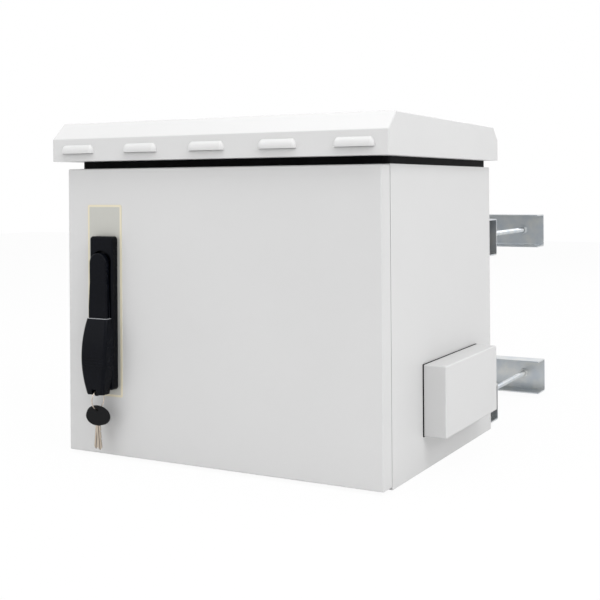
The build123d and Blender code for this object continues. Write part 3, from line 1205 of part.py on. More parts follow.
for level, height in CHANNEL_HEIGHTS.items():
    nodes[f"channel_front_{level}"] = clamp_channel(FRONT_WEB_Y, height, True)
    nodes[f"channel_rear_{level}"] = clamp_channel(REAR_WEB_Y, height, False)
    nodes[f"rear_nuts_{level}"] = Compound(web_nuts(REAR_WEB_Y, height))
front_nuts = [nut for height in CHANNEL_HEIGHTS.values() for nut in web_nuts(FRONT_WEB_Y, height)]
nodes["front_nuts"] = Compound(front_nuts)
nodes["wall_bolts"] = wall_bolts()
nodes["clamp_rods"] = clamp_rods()

os.makedirs("parts", exist_ok=True)
for name, shape in nodes.items():
    export_step(shape, f"parts/{name}.step")
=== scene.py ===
import json
import logging
import math
from dataclasses import dataclass, field
from enum import Enum
from typing import Dict, List, Optional, Sequence, Tuple, Union

import bmesh
import bpy
from mathutils import Matrix, Vector, noise


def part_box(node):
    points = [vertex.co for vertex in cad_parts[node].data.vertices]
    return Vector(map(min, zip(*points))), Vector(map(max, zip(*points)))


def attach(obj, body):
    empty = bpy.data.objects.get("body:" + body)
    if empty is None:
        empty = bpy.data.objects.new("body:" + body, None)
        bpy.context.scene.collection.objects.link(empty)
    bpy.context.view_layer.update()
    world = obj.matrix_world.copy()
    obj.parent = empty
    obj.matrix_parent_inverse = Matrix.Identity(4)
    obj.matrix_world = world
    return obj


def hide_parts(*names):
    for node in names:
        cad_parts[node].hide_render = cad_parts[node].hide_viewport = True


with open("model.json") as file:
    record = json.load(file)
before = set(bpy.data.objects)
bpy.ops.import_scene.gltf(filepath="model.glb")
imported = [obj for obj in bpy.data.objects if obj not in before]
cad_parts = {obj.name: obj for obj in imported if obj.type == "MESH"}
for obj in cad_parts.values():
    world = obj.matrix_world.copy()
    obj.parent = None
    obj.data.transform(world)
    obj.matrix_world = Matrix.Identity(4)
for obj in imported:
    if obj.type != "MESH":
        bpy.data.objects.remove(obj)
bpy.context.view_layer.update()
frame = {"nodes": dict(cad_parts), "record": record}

LOG = logging.getLogger("cabinet")
MM = 0.001
MERGE = 1e-6
WHITE = (1.0, 1.0, 1.0)
PATTERN_MIDDLE = 0.5

Colour = Tuple[float, float, float]
Point = Tuple[float, float, float]
Pairs = Sequence[Tuple[float, float]]


def shade(red: int, green: int, blue: int) -> Colour:
    """Turns a screen colour from 0 to 255 into the linear colour that a shader takes.

    Args:
        red: The red part of the screen colour.
        green: The green part.
        blue: The blue part.

    Returns:
        The same colour in linear light.
    """
    def linear(part: int) -> float:
        """Straightens one part of the colour."""
        value = part / 255
        return value / 12.92 if value <= 0.04045 else ((value + 0.055) / 1.055) ** 2.4

    return linear(red), linear(green), linear(blue)


def tint(colour: Colour, times: float, plus: float = 0.0) -> Colour:
    """Makes a colour lighter or darker.

    Args:
        colour: The colour in linear light.
        times: What each part is multiplied by.
        plus: What is then added to each part.

    Returns:
        The new colour, with no part above one.
    """
    return tuple(min(1.0, part * times + plus) for part in colour)


def add_object(name: str, data: bpy.types.ID) -> bpy.types.Object:
    """Adds an object to the scene.

    Args:
        name: The object's name.
        data: Its mesh, curve, camera or lamp.

    Returns:
        The object.
    """
    made = bpy.data.objects.new(name, data)
    bpy.context.collection.objects.link(made)
    return made


# ---------------------------------------------------------------- shader nodes


class Channel:
    """One value that runs through a node tree, with the usual signs for its Math nodes."""

    def __init__(self, bench: "NodeBench", socket: bpy.types.NodeSocket) -> None:
        """Keeps the output socket and the bench that its nodes are made on."""
        self.bench = bench
        self.socket = socket

    def maths(self, operation: str, left: "Operand", right: "Operand" = 0.0) -> "Channel":
        """Adds one Math node.

        Args:
            operation: The node's operation, such as "ADD".
            left: Its first value.
            right: Its second value.

        Returns:
            The node's result.
        """
        return self.bench.node("ShaderNodeMath", {"operation": operation}, {0: left, 1: right})

    def __add__(self, other: "Operand") -> "Channel":
        """Adds two values."""
        return self.maths("ADD", self, other)

    def __radd__(self, other: "Operand") -> "Channel":
        """Adds two values, the plain number first."""
        return self.maths("ADD", other, self)

    def __sub__(self, other: "Operand") -> "Channel":
        """Takes a value away."""
        return self.maths("SUBTRACT", self, other)

    def __rsub__(self, other: "Operand") -> "Channel":
        """Takes this value away from a plain number."""
        return self.maths("SUBTRACT", other, self)

    def __mul__(self, other: "Operand") -> "Channel":
        """Multiplies two values."""
        return self.maths("MULTIPLY", self, other)

    def __rmul__(self, other: "Operand") -> "Channel":
        """Multiplies two values, the plain number first."""
        return self.maths("MULTIPLY", other, self)

    def __gt__(self, other: "Operand") -> "Channel":
        """Gives one where this value is the larger, and nought elsewhere."""
        return self.maths("GREATER_THAN", self, other)

    def __lt__(self, other: "Operand") -> "Channel":
        """Gives one where this value is the smaller, and nought elsewhere."""
        return self.maths("LESS_THAN", self, other)

    def between(self, low: float, high: float) -> "Channel":
        """Gives one where this value lies between two numbers, and nought elsewhere."""
        return (self > low) * (self < high)

    def or_more(self, other: "Channel") -> "Channel":
        """Gives the larger of two values."""
        return self.maths("MAXIMUM", self, other)

    def size(self) -> "Channel":
        """Gives the value without its sign."""
        return self.maths("ABSOLUTE", self)

    def swing(self, amount: float) -> "Channel":
        """Gives how far a pattern is from its middle, times an amount."""
        return amount * (self - PATTERN_MIDDLE)


Operand = Union[Channel, float, int, Sequence[float]]
Sockets = Dict[Union[int, str], Operand]


class NodeBench:
    """An emptied node tree and the one method that adds any node to it."""

    def __init__(self, owner: Union[bpy.types.Material, bpy.types.World]) -> None:
        """Empties the node tree of a material or a world.

        Args:
            owner: The material or the world.
        """
        self.owner = owner
        owner.use_nodes = True
        self.tree = owner.node_tree
        self.tree.nodes.clear()

    @classmethod
    def material(cls, name: str) -> "NodeBench":
        """Starts an empty material of that name."""
        return cls(bpy.data.materials.new(name))

    def node(
        self,
        kind: str,
        settings: Optional[dict] = None,
        sockets: Optional[Sockets] = None,
        output: Union[int, str] = 0,
    ) -> Channel:
        """Adds a node of any type.

        Args:
            kind: Blender's name for the type.
            settings: The node's own settings, which are set first; "stops" are those of a ramp.
            sockets: Values or channels for its input sockets, by place or name.
            output: The output socket that is wanted.

        Returns:
            That output.
        """
        made = self.tree.nodes.new(kind)
        for key, value in (settings or {}).items():
            if key == "stops":
                self.set_stops(made.color_ramp, value)
            else:
                setattr(made, key, value)
        for key, value in (sockets or {}).items():
            if isinstance(value, Channel):
                self.tree.links.new(value.socket, made.inputs[key])
            elif isinstance(value, tuple) and len(value) == 3 and made.inputs[key].type == "RGBA":
                made.inputs[key].default_value = (*value, 1.0)
            else:
                made.inputs[key].default_value = value
        return Channel(self, made.outputs[output])

    @staticmethod
    def set_stops(ramp: bpy.types.ColorRamp, stops: Pairs) -> None:
        """Sets a ramp's stops.

        Args:
            ramp: The ramp.
            stops: The place and the grey value of each stop.
        """
        while len(ramp.elements) < len(stops):
            ramp.elements.new(PATTERN_MIDDLE)
        for element, (place, grey) in zip(ramp.elements, stops):
            element.position = place
            element.color = (grey, grey, grey, 1.0)

    def place(self) -> Channel:
        """Gives the point on the piece, in metres, which is its place in the row frame at rest."""
        return self.node("ShaderNodeTexCoord", output="Object")

    def axes(self) -> Tuple[Channel, Channel, Channel]:
        """Takes the point on the piece apart.

        Returns:
            Its X, Y and Z.
        """
        split = self.node("ShaderNodeSeparateXYZ", sockets={0: self.place()})
        outputs = split.socket.node.outputs
        return tuple(Channel(self, outputs[index]) for index in range(3))

    def grain(
        self, size: float, detail: float = 2.0, stretch: Point = (1, 1, 1), rough: float = 0.5
    ) -> Channel:
        """Gives a soft random pattern from 0 to 1.

        Args:
            size: The size of its features in metres.
            detail: How many finer layers it has.
            stretch: How much denser it is along each axis.
            rough: How strong the finer layers are.

        Returns:
            The pattern's value.
        """
        spread = self.node("ShaderNodeMapping", sockets={"Vector": self.place(), "Scale": stretch})
        sockets = {"Vector": spread, "Scale": 1 / size, "Detail": detail, "Roughness": rough}
        return self.node("ShaderNodeTexNoise", sockets=sockets)

    def cells(self, size: float) -> Channel:
        """Gives a pattern of random cells.

        Args:
            size: The cells' size in metres.

        Returns:
            The distance from the middle of each cell.
        """
        sockets = {"Vector": self.place(), "Scale": 1 / size}
        return self.node("ShaderNodeTexVoronoi", sockets=sockets, output="Distance")

    def ramp(self, value: Channel, stops: Pairs) -> Channel:
        """Runs a value through a ramp of grey stops."""
        return self.node("ShaderNodeValToRGB", {"stops": stops}, {0: value})

    def blend(self, share: Operand, first: Operand, second: Operand) -> Channel:
        """Mixes two colours.

        Args:
            share: How much of the second there is, from 0 to 1.
            first: The first colour.
            second: The second colour.

        Returns:
            The mixed colour.
        """
        sockets = {"Factor": share, 6: first, 7: second}
        return self.node("ShaderNodeMix", {"data_type": "RGBA"}, sockets, output=2)

    def bump(
        self, height: Channel, depth: float, strength: float, under: Optional[Channel] = None
    ) -> Channel:
        """Turns a height pattern into a surface direction.

        Args:
            height: The pattern, from 0 to 1.
            depth: Its depth in metres.
            strength: How much of it is used.
            under: A bump that lies under it.

        Returns:
            The surface direction.
        """
        sockets: Sockets = {"Height": height, "Distance": depth, "Strength": strength}
        if under is not None:
            sockets["Normal"] = under
        return self.node("ShaderNodeBump", sockets=sockets)

    def rays(self, kind: str) -> Channel:
        """Tells whether the light that arrives is of a kind, such as "Is Camera Ray"."""
        return self.node("ShaderNodeLightPath", output=kind)

    def finish(self, **surface: Operand) -> bpy.types.Material:
        """Adds the surface shader and joins it to the output.

        Args:
            surface: The shader's sockets, with low lines in place of blanks.

        Returns:
            The material.
        """
        sockets = {key.replace("_", " "): value for key, value in surface.items()}
        self.put_out(self.node("ShaderNodeBsdfPrincipled", sockets=sockets))
        return self.owner

    def put_out(self, shader: Channel) -> None:
        """Joins a shader to the output of the material or the world.

        Args:
            shader: The shader.
        """
        is_world = isinstance(self.owner, bpy.types.World)
        kind = "ShaderNodeOutputWorld" if is_world else "ShaderNodeOutputMaterial"
        self.tree.links.new(shader.socket, self.tree.nodes.new(kind).inputs["Surface"])


# ---------------------------------------------------------------- finishes


@dataclass(frozen=True)
class PowderCoat:
    """Oven-cured powder paint: an even colour with a fine orange peel."""

    colour: Colour
    shift: float = 0.03
    roughness: float = 0.42
    cloud_size: float = 210 * MM
    peel_size: float = 1.6 * MM
    peel_depth: float = 0.025 * MM
    dust_size: float = 0.5 * MM

    def material(self, name: str) -> bpy.types.Material:
        """Makes the paint.

        Args:
            name: The material's name.

        Returns:
            The material.
        """
        bench = NodeBench.material(name)
        cloud = bench.grain(self.cloud_size, detail=3.0)
        peel = bench.grain(self.peel_size, detail=2.0)
        dust = bench.grain(self.dust_size, detail=1.0)
        fine = bench.bump(dust, depth=self.peel_depth / 3, strength=0.4)
        darker, lighter = tint(self.colour, 1 - self.shift), tint(self.colour, 1 + self.shift)
        return bench.finish(
            Base_Color=bench.blend(cloud, darker, lighter),
            Roughness=self.roughness + peel.swing(0.06) + cloud.swing(0.05),
            Normal=bench.bump(peel, depth=self.peel_depth, strength=0.6, under=fine),
        )


@dataclass(frozen=True)
class ZincPlate:
    """Bright zinc on steel, passivated blue, with faint clouds and fine draw lines."""

    cool: Colour = shade(196, 202, 208)
    warm: Colour = shade(216, 217, 215)
    roughness: float = 0.3
    cloud_size: float = 28 * MM
    cloud_stops: Pairs = ((0.35, 0.0), (0.7, 1.0))
    line_size: float = 1.2 * MM
    line_stretch: Point = (0.05, 1.0, 1.0)
    line_depth: float = 0.02 * MM
    crystal_size: float = 2.2 * MM

    def material(self, name: str) -> bpy.types.Material:
        """Makes the plating.

        Args:
            name: The material's name.

        Returns:
            The material.
        """
        bench = NodeBench.material(name)
        cloud = bench.ramp(bench.grain(self.cloud_size, detail=4.0), self.cloud_stops)
        lines = bench.grain(self.line_size, detail=3.0, stretch=self.line_stretch)
        crystals = bench.cells(self.crystal_size)
        return bench.finish(
            Base_Color=bench.blend(cloud, self.cool, self.warm),
            Metallic=1.0,
            Roughness=self.roughness + lines.swing(0.14) + 0.08 * crystals,
            Normal=bench.bump(lines, depth=self.line_depth, strength=0.5),
        )


@dataclass(frozen=True)
class HandlePaint:
    """Satin black paint on die-cast zinc, which may carry a painted highlight along the grip's
    upper rim.
    """

    colour: Colour = shade(8, 10, 16)
    # painted highlight: the colour of the light that falls on the grip's upward-facing upper rim
    painted_highlight: Colour = shade(168, 170, 174)
    roughness: float = 0.3
    gloss: float = 0.08
    peel_size: float = 0.7 * MM
    peel_depth: float = 0.03 * MM
    wear_size: float = 18 * MM
    wear_stops: Pairs = ((0.45, 0.0), (0.75, 1.0))
    # the band of heights at the grip's upper rim that gets the painted highlight
    rim: Tuple[float, float] = (239.3 * MM, 240.6 * MM)
    painted_rim_highlight: bool = False

    def material(self, name: str) -> bpy.types.Material:
        """Makes the paint.

        Args:
            name: The material's name.

        Returns:
            The material.
        """
        bench = NodeBench.material(name)
        peel = bench.grain(self.peel_size, detail=3.0)
        wear = bench.ramp(bench.grain(self.wear_size, detail=4.0), self.wear_stops)
        paint = bench.blend(wear * 0.5, self.colour, tint(self.colour, 1.5, 0.001))
        if self.painted_rim_highlight:
            # painted highlight: the upper rim is painted bright where light falls on its top face
            _, _, up = bench.axes()
            paint = bench.blend(up.between(*self.rim), paint, self.painted_highlight)
        return bench.finish(
            Base_Color=paint,
            Roughness=self.roughness + peel.swing(0.1) - 0.06 * wear,
            Specular_IOR_Level=self.gloss,
            Normal=bench.bump(peel, depth=self.peel_depth, strength=0.5),
        )


@dataclass(frozen=True)
class MouldedPlastic:
    """Matt moulded plastic with a spark-eroded skin."""

    colour: Colour = shade(20, 20, 22)
    roughness: float = 0.5
    pit_size: float = 0.45 * MM
    pit_depth: float = 0.02 * MM
    cloud_size: float = 9 * MM

    def material(self, name: str) -> bpy.types.Material:
        """Makes the plastic.

        Args:
            name: The material's name.

        Returns:
            The material.
        """
        bench = NodeBench.material(name)
        pits = bench.cells(self.pit_size)
        cloud = bench.grain(self.cloud_size)
        return bench.finish(
            Base_Color=bench.blend(cloud, self.colour, tint(self.colour, 1.5, 0.003)),
            Roughness=self.roughness + cloud.swing(0.12),
            Normal=bench.bump(pits, depth=self.pit_depth, strength=0.6),
        )


@dataclass(frozen=True)
class SealRubber:
    """Black extruded or foamed rubber with a little bloom."""

    colour: Colour = shade(9, 9, 10)
    roughness: float = 0.72
    gloss: float = 0.12
    skin_size: float = 0.8 * MM
    skin_depth: float = 0.08 * MM
    bloom_size: float = 16 * MM
    bloom_stops: Pairs = ((0.5, 0.0), (0.8, 1.0))

    def material(self, name: str) -> bpy.types.Material:
        """Makes the rubber.

        Args:
            name: The material's name.

        Returns:
            The material.
        """
        bench = NodeBench.material(name)
        skin = bench.grain(self.skin_size, detail=3.0)
        bloom = bench.ramp(bench.grain(self.bloom_size, detail=3.0), self.bloom_stops)
        return bench.finish(
            Base_Color=bench.blend(bloom * 0.6, self.colour, tint(self.colour, 2, 0.002)),
            Roughness=self.roughness + skin.swing(0.12),
            Specular_IOR_Level=self.gloss,
            Normal=bench.bump(skin, depth=self.skin_depth, strength=0.6),
        )


@dataclass(frozen=True)
class PlateFoil:
    """The bare plate behind the handle: a cream rim round a field of brushed silver grey."""

    rim: Colour = shade(222, 214, 190)
    inner: Colour = shade(184, 184, 178)
    streak: Colour = shade(205, 204, 198)
    roughness: float = 0.42
    field_x: Tuple[float, float] = (-252.4 * MM, -187.6 * MM)
    field_z: Tuple[float, float] = (107.8 * MM, 428.2 * MM)
    brush_size: float = 0.6 * MM
    brush_stretch: Point = (1.0, 1.0, 0.02)
    brush_depth: float = 0.006 * MM

    def material(self, name: str) -> bpy.types.Material:
        """Makes the plate's face.

        Args:
            name: The material's name.

        Returns:
            The material.
        """
        bench = NodeBench.material(name)
        across, _, up = bench.axes()
        inside = across.between(*self.field_x) * up.between(*self.field_z)
        brush = bench.grain(self.brush_size, detail=4.0, stretch=self.brush_stretch)
        streaked = bench.blend(brush * 0.35, self.inner, self.streak)
        return bench.finish(
            Base_Color=bench.blend(inside, self.rim, streaked),
            Metallic=0.25 * inside,
            Roughness=self.roughness - 0.06 * inside + brush.swing(0.1),
            Normal=bench.bump(brush, depth=self.brush_depth, strength=0.4),
        )


@dataclass(frozen=True)
class Nickel:
    """Polished nickel with fine handling scratches."""

    colour: Colour = shade(206, 194, 182)
    dull: Colour = shade(176, 160, 146)
    roughness: float = 0.2
    scratch_size: float = 0.35 * MM
    scratch_stretch: Point = (1.0, 1.0, 0.12)
    scratch_depth: float = 0.01 * MM
    tarnish_size: float = 6 * MM

    def material(self, name: str) -> bpy.types.Material:
        """Makes the plating.

        Args:
            name: The material's name.

        Returns:
            The material.
        """
        bench = NodeBench.material(name)
        scratch = bench.grain(self.scratch_size, detail=4.0, stretch=self.scratch_stretch)
        tarnish = bench.grain(self.tarnish_size, detail=3.0)
        return bench.finish(
            Base_Color=bench.blend(tarnish * 0.5, self.colour, self.dull),
            Metallic=1.0,
            Roughness=self.roughness + 0.16 * scratch,
            Normal=bench.bump(scratch, depth=self.scratch_depth, strength=0.5),
        )


@dataclass(frozen=True)
class KeyFinish:
    """A key's two stuffs: a moulded head above and a nickel blade with a milled groove below."""

    turn: float = 0.0
    neck: float = 58.9 * MM
    pivot: Point = (-217.0 * MM, 0.0, 85.27 * MM)
    groove: float = 0.75 * MM
    groove_depth: float = 0.3 * MM
    head: Colour = shade(9, 10, 13)
    blade: Colour = shade(186, 175, 162)
    shadow: Colour = shade(92, 84, 76)
    roughness: float = 0.42
    gloss: float = 0.14
    pit_size: float = 0.5 * MM
    scratch_size: float = 0.4 * MM
    scratch_stretch: Point = (1.0, 1.0, 0.1)
    mark_depth: float = 0.015 * MM

    def material(self, name: str) -> bpy.types.Material:
        """Makes both, parted at the neck's height.

        Args:
            name: The material's name.

        Returns:
            The material.
        """
        bench = NodeBench.material(name)
        across, _, up = bench.axes()
        metal = up < self.neck
        lean = math.tan(math.radians(self.turn))
        middle = self.pivot[0] + (self.pivot[2] - up) * lean
        milled = ((across - middle).size() < self.groove) * metal
        blade = bench.blend(milled, self.blade, self.shadow)
        pits = bench.cells(self.pit_size)
        scratch = bench.grain(self.scratch_size, detail=4.0, stretch=self.scratch_stretch)
        marks = bench.bump(bench.blend(metal, pits, scratch), depth=self.mark_depth, strength=0.5)
        return bench.finish(
            Base_Color=bench.blend(metal, self.head, blade),
            Metallic=metal,
            Roughness=self.roughness - 0.22 * metal + scratch.swing(0.12),
            Specular_IOR_Level=self.gloss,
            Normal=bench.bump(1 - milled, depth=self.groove_depth, strength=0.6, under=marks),
        )


@dataclass(frozen=True)
class FilterFleece:
    """A thick off-white filter fleece, painted darker as shade in the hollows of its bump."""

    colour: Colour = shade(216, 217, 212)
    # painted shade: the colour of the fleece's hollows
    hollow_shade: Colour = shade(176, 177, 172)
    roughness: float = 0.94
    fibre_size: float = 1.1 * MM
    tuft_size: float = 3.5 * MM
    depth: float = 0.9 * MM

    def material(self, name: str) -> bpy.types.Material:
        """Makes the fleece.

        Args:
            name: The material's name.

        Returns:
            The material.
        """
        bench = NodeBench.material(name)
        fibres = bench.grain(self.fibre_size, detail=6.0, rough=0.7)
        height = 0.6 * fibres + 0.4 * bench.cells(self.tuft_size)
        return bench.finish(
            # painted shade: darker where the fibre pattern, which also sets the bump's height, is
            # low
            Base_Color=bench.blend(fibres, self.hollow_shade, self.colour),
            Roughness=self.roughness + fibres.swing(0.05),
            Normal=bench.bump(height, depth=self.depth, strength=0.9),
        )


class Finish(Enum):
    """The finishes, each with the record's material slot that it dresses."""

    POWDER = "powder_grey"
    ZINC = "zinc"
    HANDLE = "handle_black"
    PLASTIC = "black_plastic"
    RUBBER = "rubber"
    PLATE = "plate_cream"
    NICKEL = "nickel"
    FLEECE = "filter_foam"


RECIPES = {
    Finish.POWDER: PowderCoat(shade(209, 209, 209)),
    Finish.ZINC: ZincPlate(),
    Finish.HANDLE: HandlePaint(),
    Finish.PLASTIC: MouldedPlastic(),
    Finish.RUBBER: SealRubber(),
    Finish.PLATE: PlateFoil(),
    Finish.NICKEL: Nickel(),
    Finish.FLEECE: FilterFleece(),
}


class PaintShop:
    """Makes each finish once and dresses CAD nodes and new pieces in it."""

    def __init__(self) -> None:
        """Makes every finish's material."""
        self.stock = {finish: recipe.material(finish.value) for finish, recipe in RECIPES.items()}

    def dress_nodes(self) -> int:
        """Dresses every CAD node in the finish of its slot.

        Returns:
            How many nodes were dressed.
        """
        rows = frame["record"]["subparts"]
        for row in rows:
            self.cover(frame["nodes"][row["node"]], self.stock[Finish(row["material_slot"])])
        return len(rows)

    @staticmethod
    def cover(piece: bpy.types.Object, material: bpy.types.Material) -> None:
        """Puts one material on all of a piece.

        Args:
            piece: The piece or the CAD node.
            material: The material.
        """
        if not piece.material_slots:
            piece.data.materials.append(material)
        for place in piece.material_slots:
            place.material = material

    def dress(self, piece: bpy.types.Object, finish: Finish, body: str, node: str) -> None:
        """Dresses a new piece, sets it on its body and lets it stand for its CAD node.

        Args:
            piece: The new piece.
            finish: Its finish.
            body: The CAD body that it moves with.
            node: The CAD node that it replaces.
        """
        self.cover(piece, self.stock[finish])
        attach(piece, body)
        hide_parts(node)
        LOG.info("%s for %s: %d faces", piece.name, node, len(piece.data.polygons))


# ---------------------------------------------------------------- modelling by hand


class Workbench:
    """Small steps of modelling with Blender's own operators."""

    @staticmethod
    def clear() -> None:
        """Leaves edit mode and deselects everything."""
        if bpy.context.object is not None and bpy.context.object.mode != "OBJECT":
            bpy.ops.object.mode_set(mode="OBJECT")
        bpy.ops.object.select_all(action="DESELECT")

    @staticmethod
    def hold(piece: bpy.types.Object) -> None:
        """Selects one piece alone and makes it the active one.

        Args:
            piece: The piece.
        """
        Workbench.clear()
        piece.select_set(True)
        bpy.context.view_layer.objects.active = piece

    @staticmethod
    def edit(piece: bpy.types.Object) -> None:
        """Opens a piece in edit mode with all of its mesh selected.

        Args:
            piece: The piece.
        """
        Workbench.hold(piece)
        bpy.ops.object.mode_set(mode="EDIT")
        bpy.ops.mesh.select_all(action="SELECT")

    @staticmethod
    def take(name: str) -> bpy.types.Object:
        """Names the piece that was just added.

        Args:
            name: Its name.

        Returns:
            The piece.
        """
        piece = bpy.context.object
        piece.name = name
        piece.data.name = name
        return piece

    @staticmethod
    def settle(piece: bpy.types.Object) -> None:
        """Moves a piece's place into its mesh, so that its object sits at the origin."""
        Workbench.hold(piece)
        bpy.ops.object.transform_apply(location=True, rotation=True, scale=True)

    @staticmethod
    def apply_all(piece: bpy.types.Object) -> None:
        """Applies a piece's modifiers in order.

        Args:
            piece: The piece.
        """
        Workbench.hold(piece)
        for modifier in list(piece.modifiers):
            bpy.ops.object.modifier_apply(modifier=modifier.name)

    @staticmethod
    def copy(piece: bpy.types.Object, name: str, shift: Point) -> bpy.types.Object:
        """Copies a settled piece with its own mesh, moved by a shift.

        Args:
            piece: The piece to copy.
            name: The copy's name.
            shift: How far the copy lies from it, in metres.

        Returns:
            The copy.
        """
        mesh = piece.data.copy()
        mesh.name = name
        mesh.transform(Matrix.Translation(Vector(shift)))
        return add_object(name, mesh)

    @staticmethod
    def face_out(piece: bpy.types.Object) -> None:
        """Joins doubled points and turns every face outward.

        Args:
            piece: The piece, a closed shell.
        """
        Workbench.edit(piece)
        bpy.ops.mesh.remove_doubles(threshold=MERGE)
        bpy.ops.mesh.normals_make_consistent(inside=False)
        bpy.ops.object.mode_set(mode="OBJECT")

    @staticmethod
    def wind(piece: bpy.types.Object, steps: int, pitch: float = 0.0, turns: int = 1) -> None:
        """Winds a piece's edges about Z into a surface.

        Args:
            piece: The piece, an outline of edges.
            steps: How many sides one turn gets.
            pitch: How far one turn climbs.
            turns: How many turns there are.
        """
        screw = piece.modifiers.new("turn", "SCREW")
        screw.axis = "Z"
        screw.screw_offset = pitch
        screw.iterations = turns
        screw.steps = steps
        screw.render_steps = steps
        screw.use_merge_vertices = True
        screw.merge_threshold = MERGE
        Workbench.apply_all(piece)

    @staticmethod
    def lathe(name: str, profile: Pairs, steps: int) -> bpy.types.Object:
        """Turns a closed profile about Z, as on a lathe.

        Args:
            name: The piece's name.
            profile: The profile's corners, each a radius and a height.
            steps: How many sides the round gets.

        Returns:
            The turned ring.
        """
        mesh = bpy.data.meshes.new(name)
        edges = [(index, (index + 1) % len(profile)) for index in range(len(profile))]
        mesh.from_pydata([(radius, 0.0, height) for radius, height in profile], edges, [])
        piece = add_object(name, mesh)
        Workbench.wind(piece, steps)
        Workbench.face_out(piece)
        return piece

    @staticmethod
    def loop(name: str, corners: Pairs) -> bpy.types.Object:
        """Adds a closed flat curve.

        Args:
            name: The curve's name.
            corners: Its corners, each an X and a Y.

        Returns:
            The curve.
        """
        data = bpy.data.curves.new(name, "CURVE")
        data.dimensions = "2D"
        spline = data.splines.new("POLY")
        spline.points.add(len(corners) - 1)
        for point, (x, y) in zip(spline.points, corners):
            point.co = (x, y, 0.0, 1.0)
        spline.use_cyclic_u = True
        return add_object(name, data)

    @staticmethod
    def meet(piece: bpy.types.Object, other: bpy.types.Object) -> None:
        """Keeps only what a piece shares with another, and removes the other.

        Args:
            piece: The piece that is kept.
            other: The piece that it is cut to.
        """
        shared = piece.modifiers.new("shared", "BOOLEAN")
        shared.operation = "INTERSECT"
        shared.solver = "EXACT"
        shared.object = other
        Workbench.apply_all(piece)
        bpy.data.objects.remove(other)

    @staticmethod
    def join(pieces: Sequence[bpy.types.Object], name: str) -> bpy.types.Object:
        """Makes one piece of several.

        Args:
            pieces: The pieces.
            name: The new piece's name.

        Returns:
            The one piece.
        """
        Workbench.clear()
        for piece in pieces:
            piece.select_set(True)
        bpy.context.view_layer.objects.active = pieces[0]
        bpy.ops.object.join()
        return Workbench.take(name)

    @staticmethod
    def smooth(piece: bpy.types.Object, angle: float) -> None:
        """Shades a piece smooth, apart from edges sharper than an angle in degrees."""
        Workbench.hold(piece)
        bpy.ops.object.shade_smooth_by_angle(angle=math.radians(angle))


@dataclass(frozen=True)
class NutSize:
    """The sizes of a hexagon nut with chamfered corners and a countersunk bore."""

    flats: float
    height: float
    bore: float
    countersink: float = 0.5 * MM
    land_share: float = 0.95
    blank_share: float = 1.01
    chamfer_angle: float = 30.0

    @property
    def corner(self) -> float:
        """The distance from the axis to a corner."""
        return self.flats / math.sqrt(3)

    def profile(self) -> Pairs:
        """Gives the turned blank that the hexagon is cut to.

        Returns:
            Its closed profile, as radius and height.
        """
        mouth = self.bore + self.countersink
        land = self.flats / 2 * self.land_share
        outer = self.corner * self.blank_share
        fall = (outer - land) * math.tan(math.radians(self.chamfer_angle))
        top = self.height
        return [
            (self.bore, self.countersink), (mouth, 0.0), (land, 0.0), (outer, fall),
            (outer, top - fall), (land, top), (mouth, top), (self.bore, top - self.countersink),
        ]


@dataclass(frozen=True)
class WasherSize:
    """The sizes of a flat washer with softened edges."""

    radius: float
    bore: float
    height: float
    edge: float = 0.3 * MM

    def profile(self) -> Pairs:
        """Gives the washer's section.

        Returns:
            Its closed profile, as radius and height.
        """
        flat, top = self.radius - self.edge, self.height
        return [
            (self.bore, 0.0), (flat, 0.0), (self.radius, self.edge),
            (self.radius, top - self.edge), (flat, top), (self.bore, top),
        ]


@dataclass
class ClampNuts:
    """Washers and nuts on both sides of every channel's web, in place of the plain ones."""

    nut: NutSize = NutSize(17.0 * MM, 8.0 * MM, 5.1 * MM)
    plate: WasherSize = WasherSize(10.0 * MM, 5.1 * MM, 2.0 * MM)
    across: Tuple[float, float] = (-250.0 * MM, 250.0 * MM)
    homes: Tuple[Tuple[str, str, int], ...] = (
        ("front_nuts", "cabinet", 2),
        ("rear_nuts_lower", "clamp_lower", 1),
        ("rear_nuts_upper", "clamp_upper", 1),
    )
    sides: int = 36
    crease: float = 25.0

    def stack(self) -> bpy.types.Object:
        """Models one washer with its nut on top, standing on the origin along +Y.

        Returns:
            The two as one piece, settled.
        """
        blank = Workbench.lathe("nut_blank", self.nut.profile(), self.sides)
        Workbench.clear()
        bpy.ops.mesh.primitive_cylinder_add(
            vertices=6,
            radius=self.nut.corner,
            depth=3 * self.nut.height,
            location=(0, 0, self.nut.height / 2),
        )
        prism = Workbench.take("nut")
        Workbench.meet(prism, blank)
        prism.location = (0, 0, self.plate.height)
        Workbench.settle(prism)
        ring = Workbench.lathe("nut_washer", self.plate.profile(), self.sides)
        stack = Workbench.join([prism, ring], "nut_stack")
        stack.rotation_euler = (-math.pi / 2, 0, 0)
        Workbench.settle(stack)
        Workbench.smooth(stack, self.crease)
        return stack

    def build(self, shop: PaintShop) -> None:
        """Sets the nuts in their places and dresses them.

        Args:
            shop: The paint shop.
        """
        outward = self.stack()
        inward = Workbench.copy(outward, "nut_stack_inward", (0, 0, 0))
        inward.rotation_euler = (0, 0, math.pi)
        Workbench.settle(inward)
        reach = self.plate.height + self.nut.height
        rim = self.plate.radius
        for node, body, rows in self.homes:
            low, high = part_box(node)
            heights = sorted({low[2] + rim, high[2] - rim})
            group = []
            for x in self.across:
                for z in heights[:rows]:
                    group.append(Workbench.copy(outward, "nut", (x, high[1] - reach, z)))
                    group.append(Workbench.copy(inward, "nut", (x, low[1] + reach, z)))
            piece = Workbench.join(group, f"hex_{node}")
            shop.dress(piece, Finish.ZINC, body, node)
        for spare in (outward, inward):
            bpy.data.objects.remove(spare)


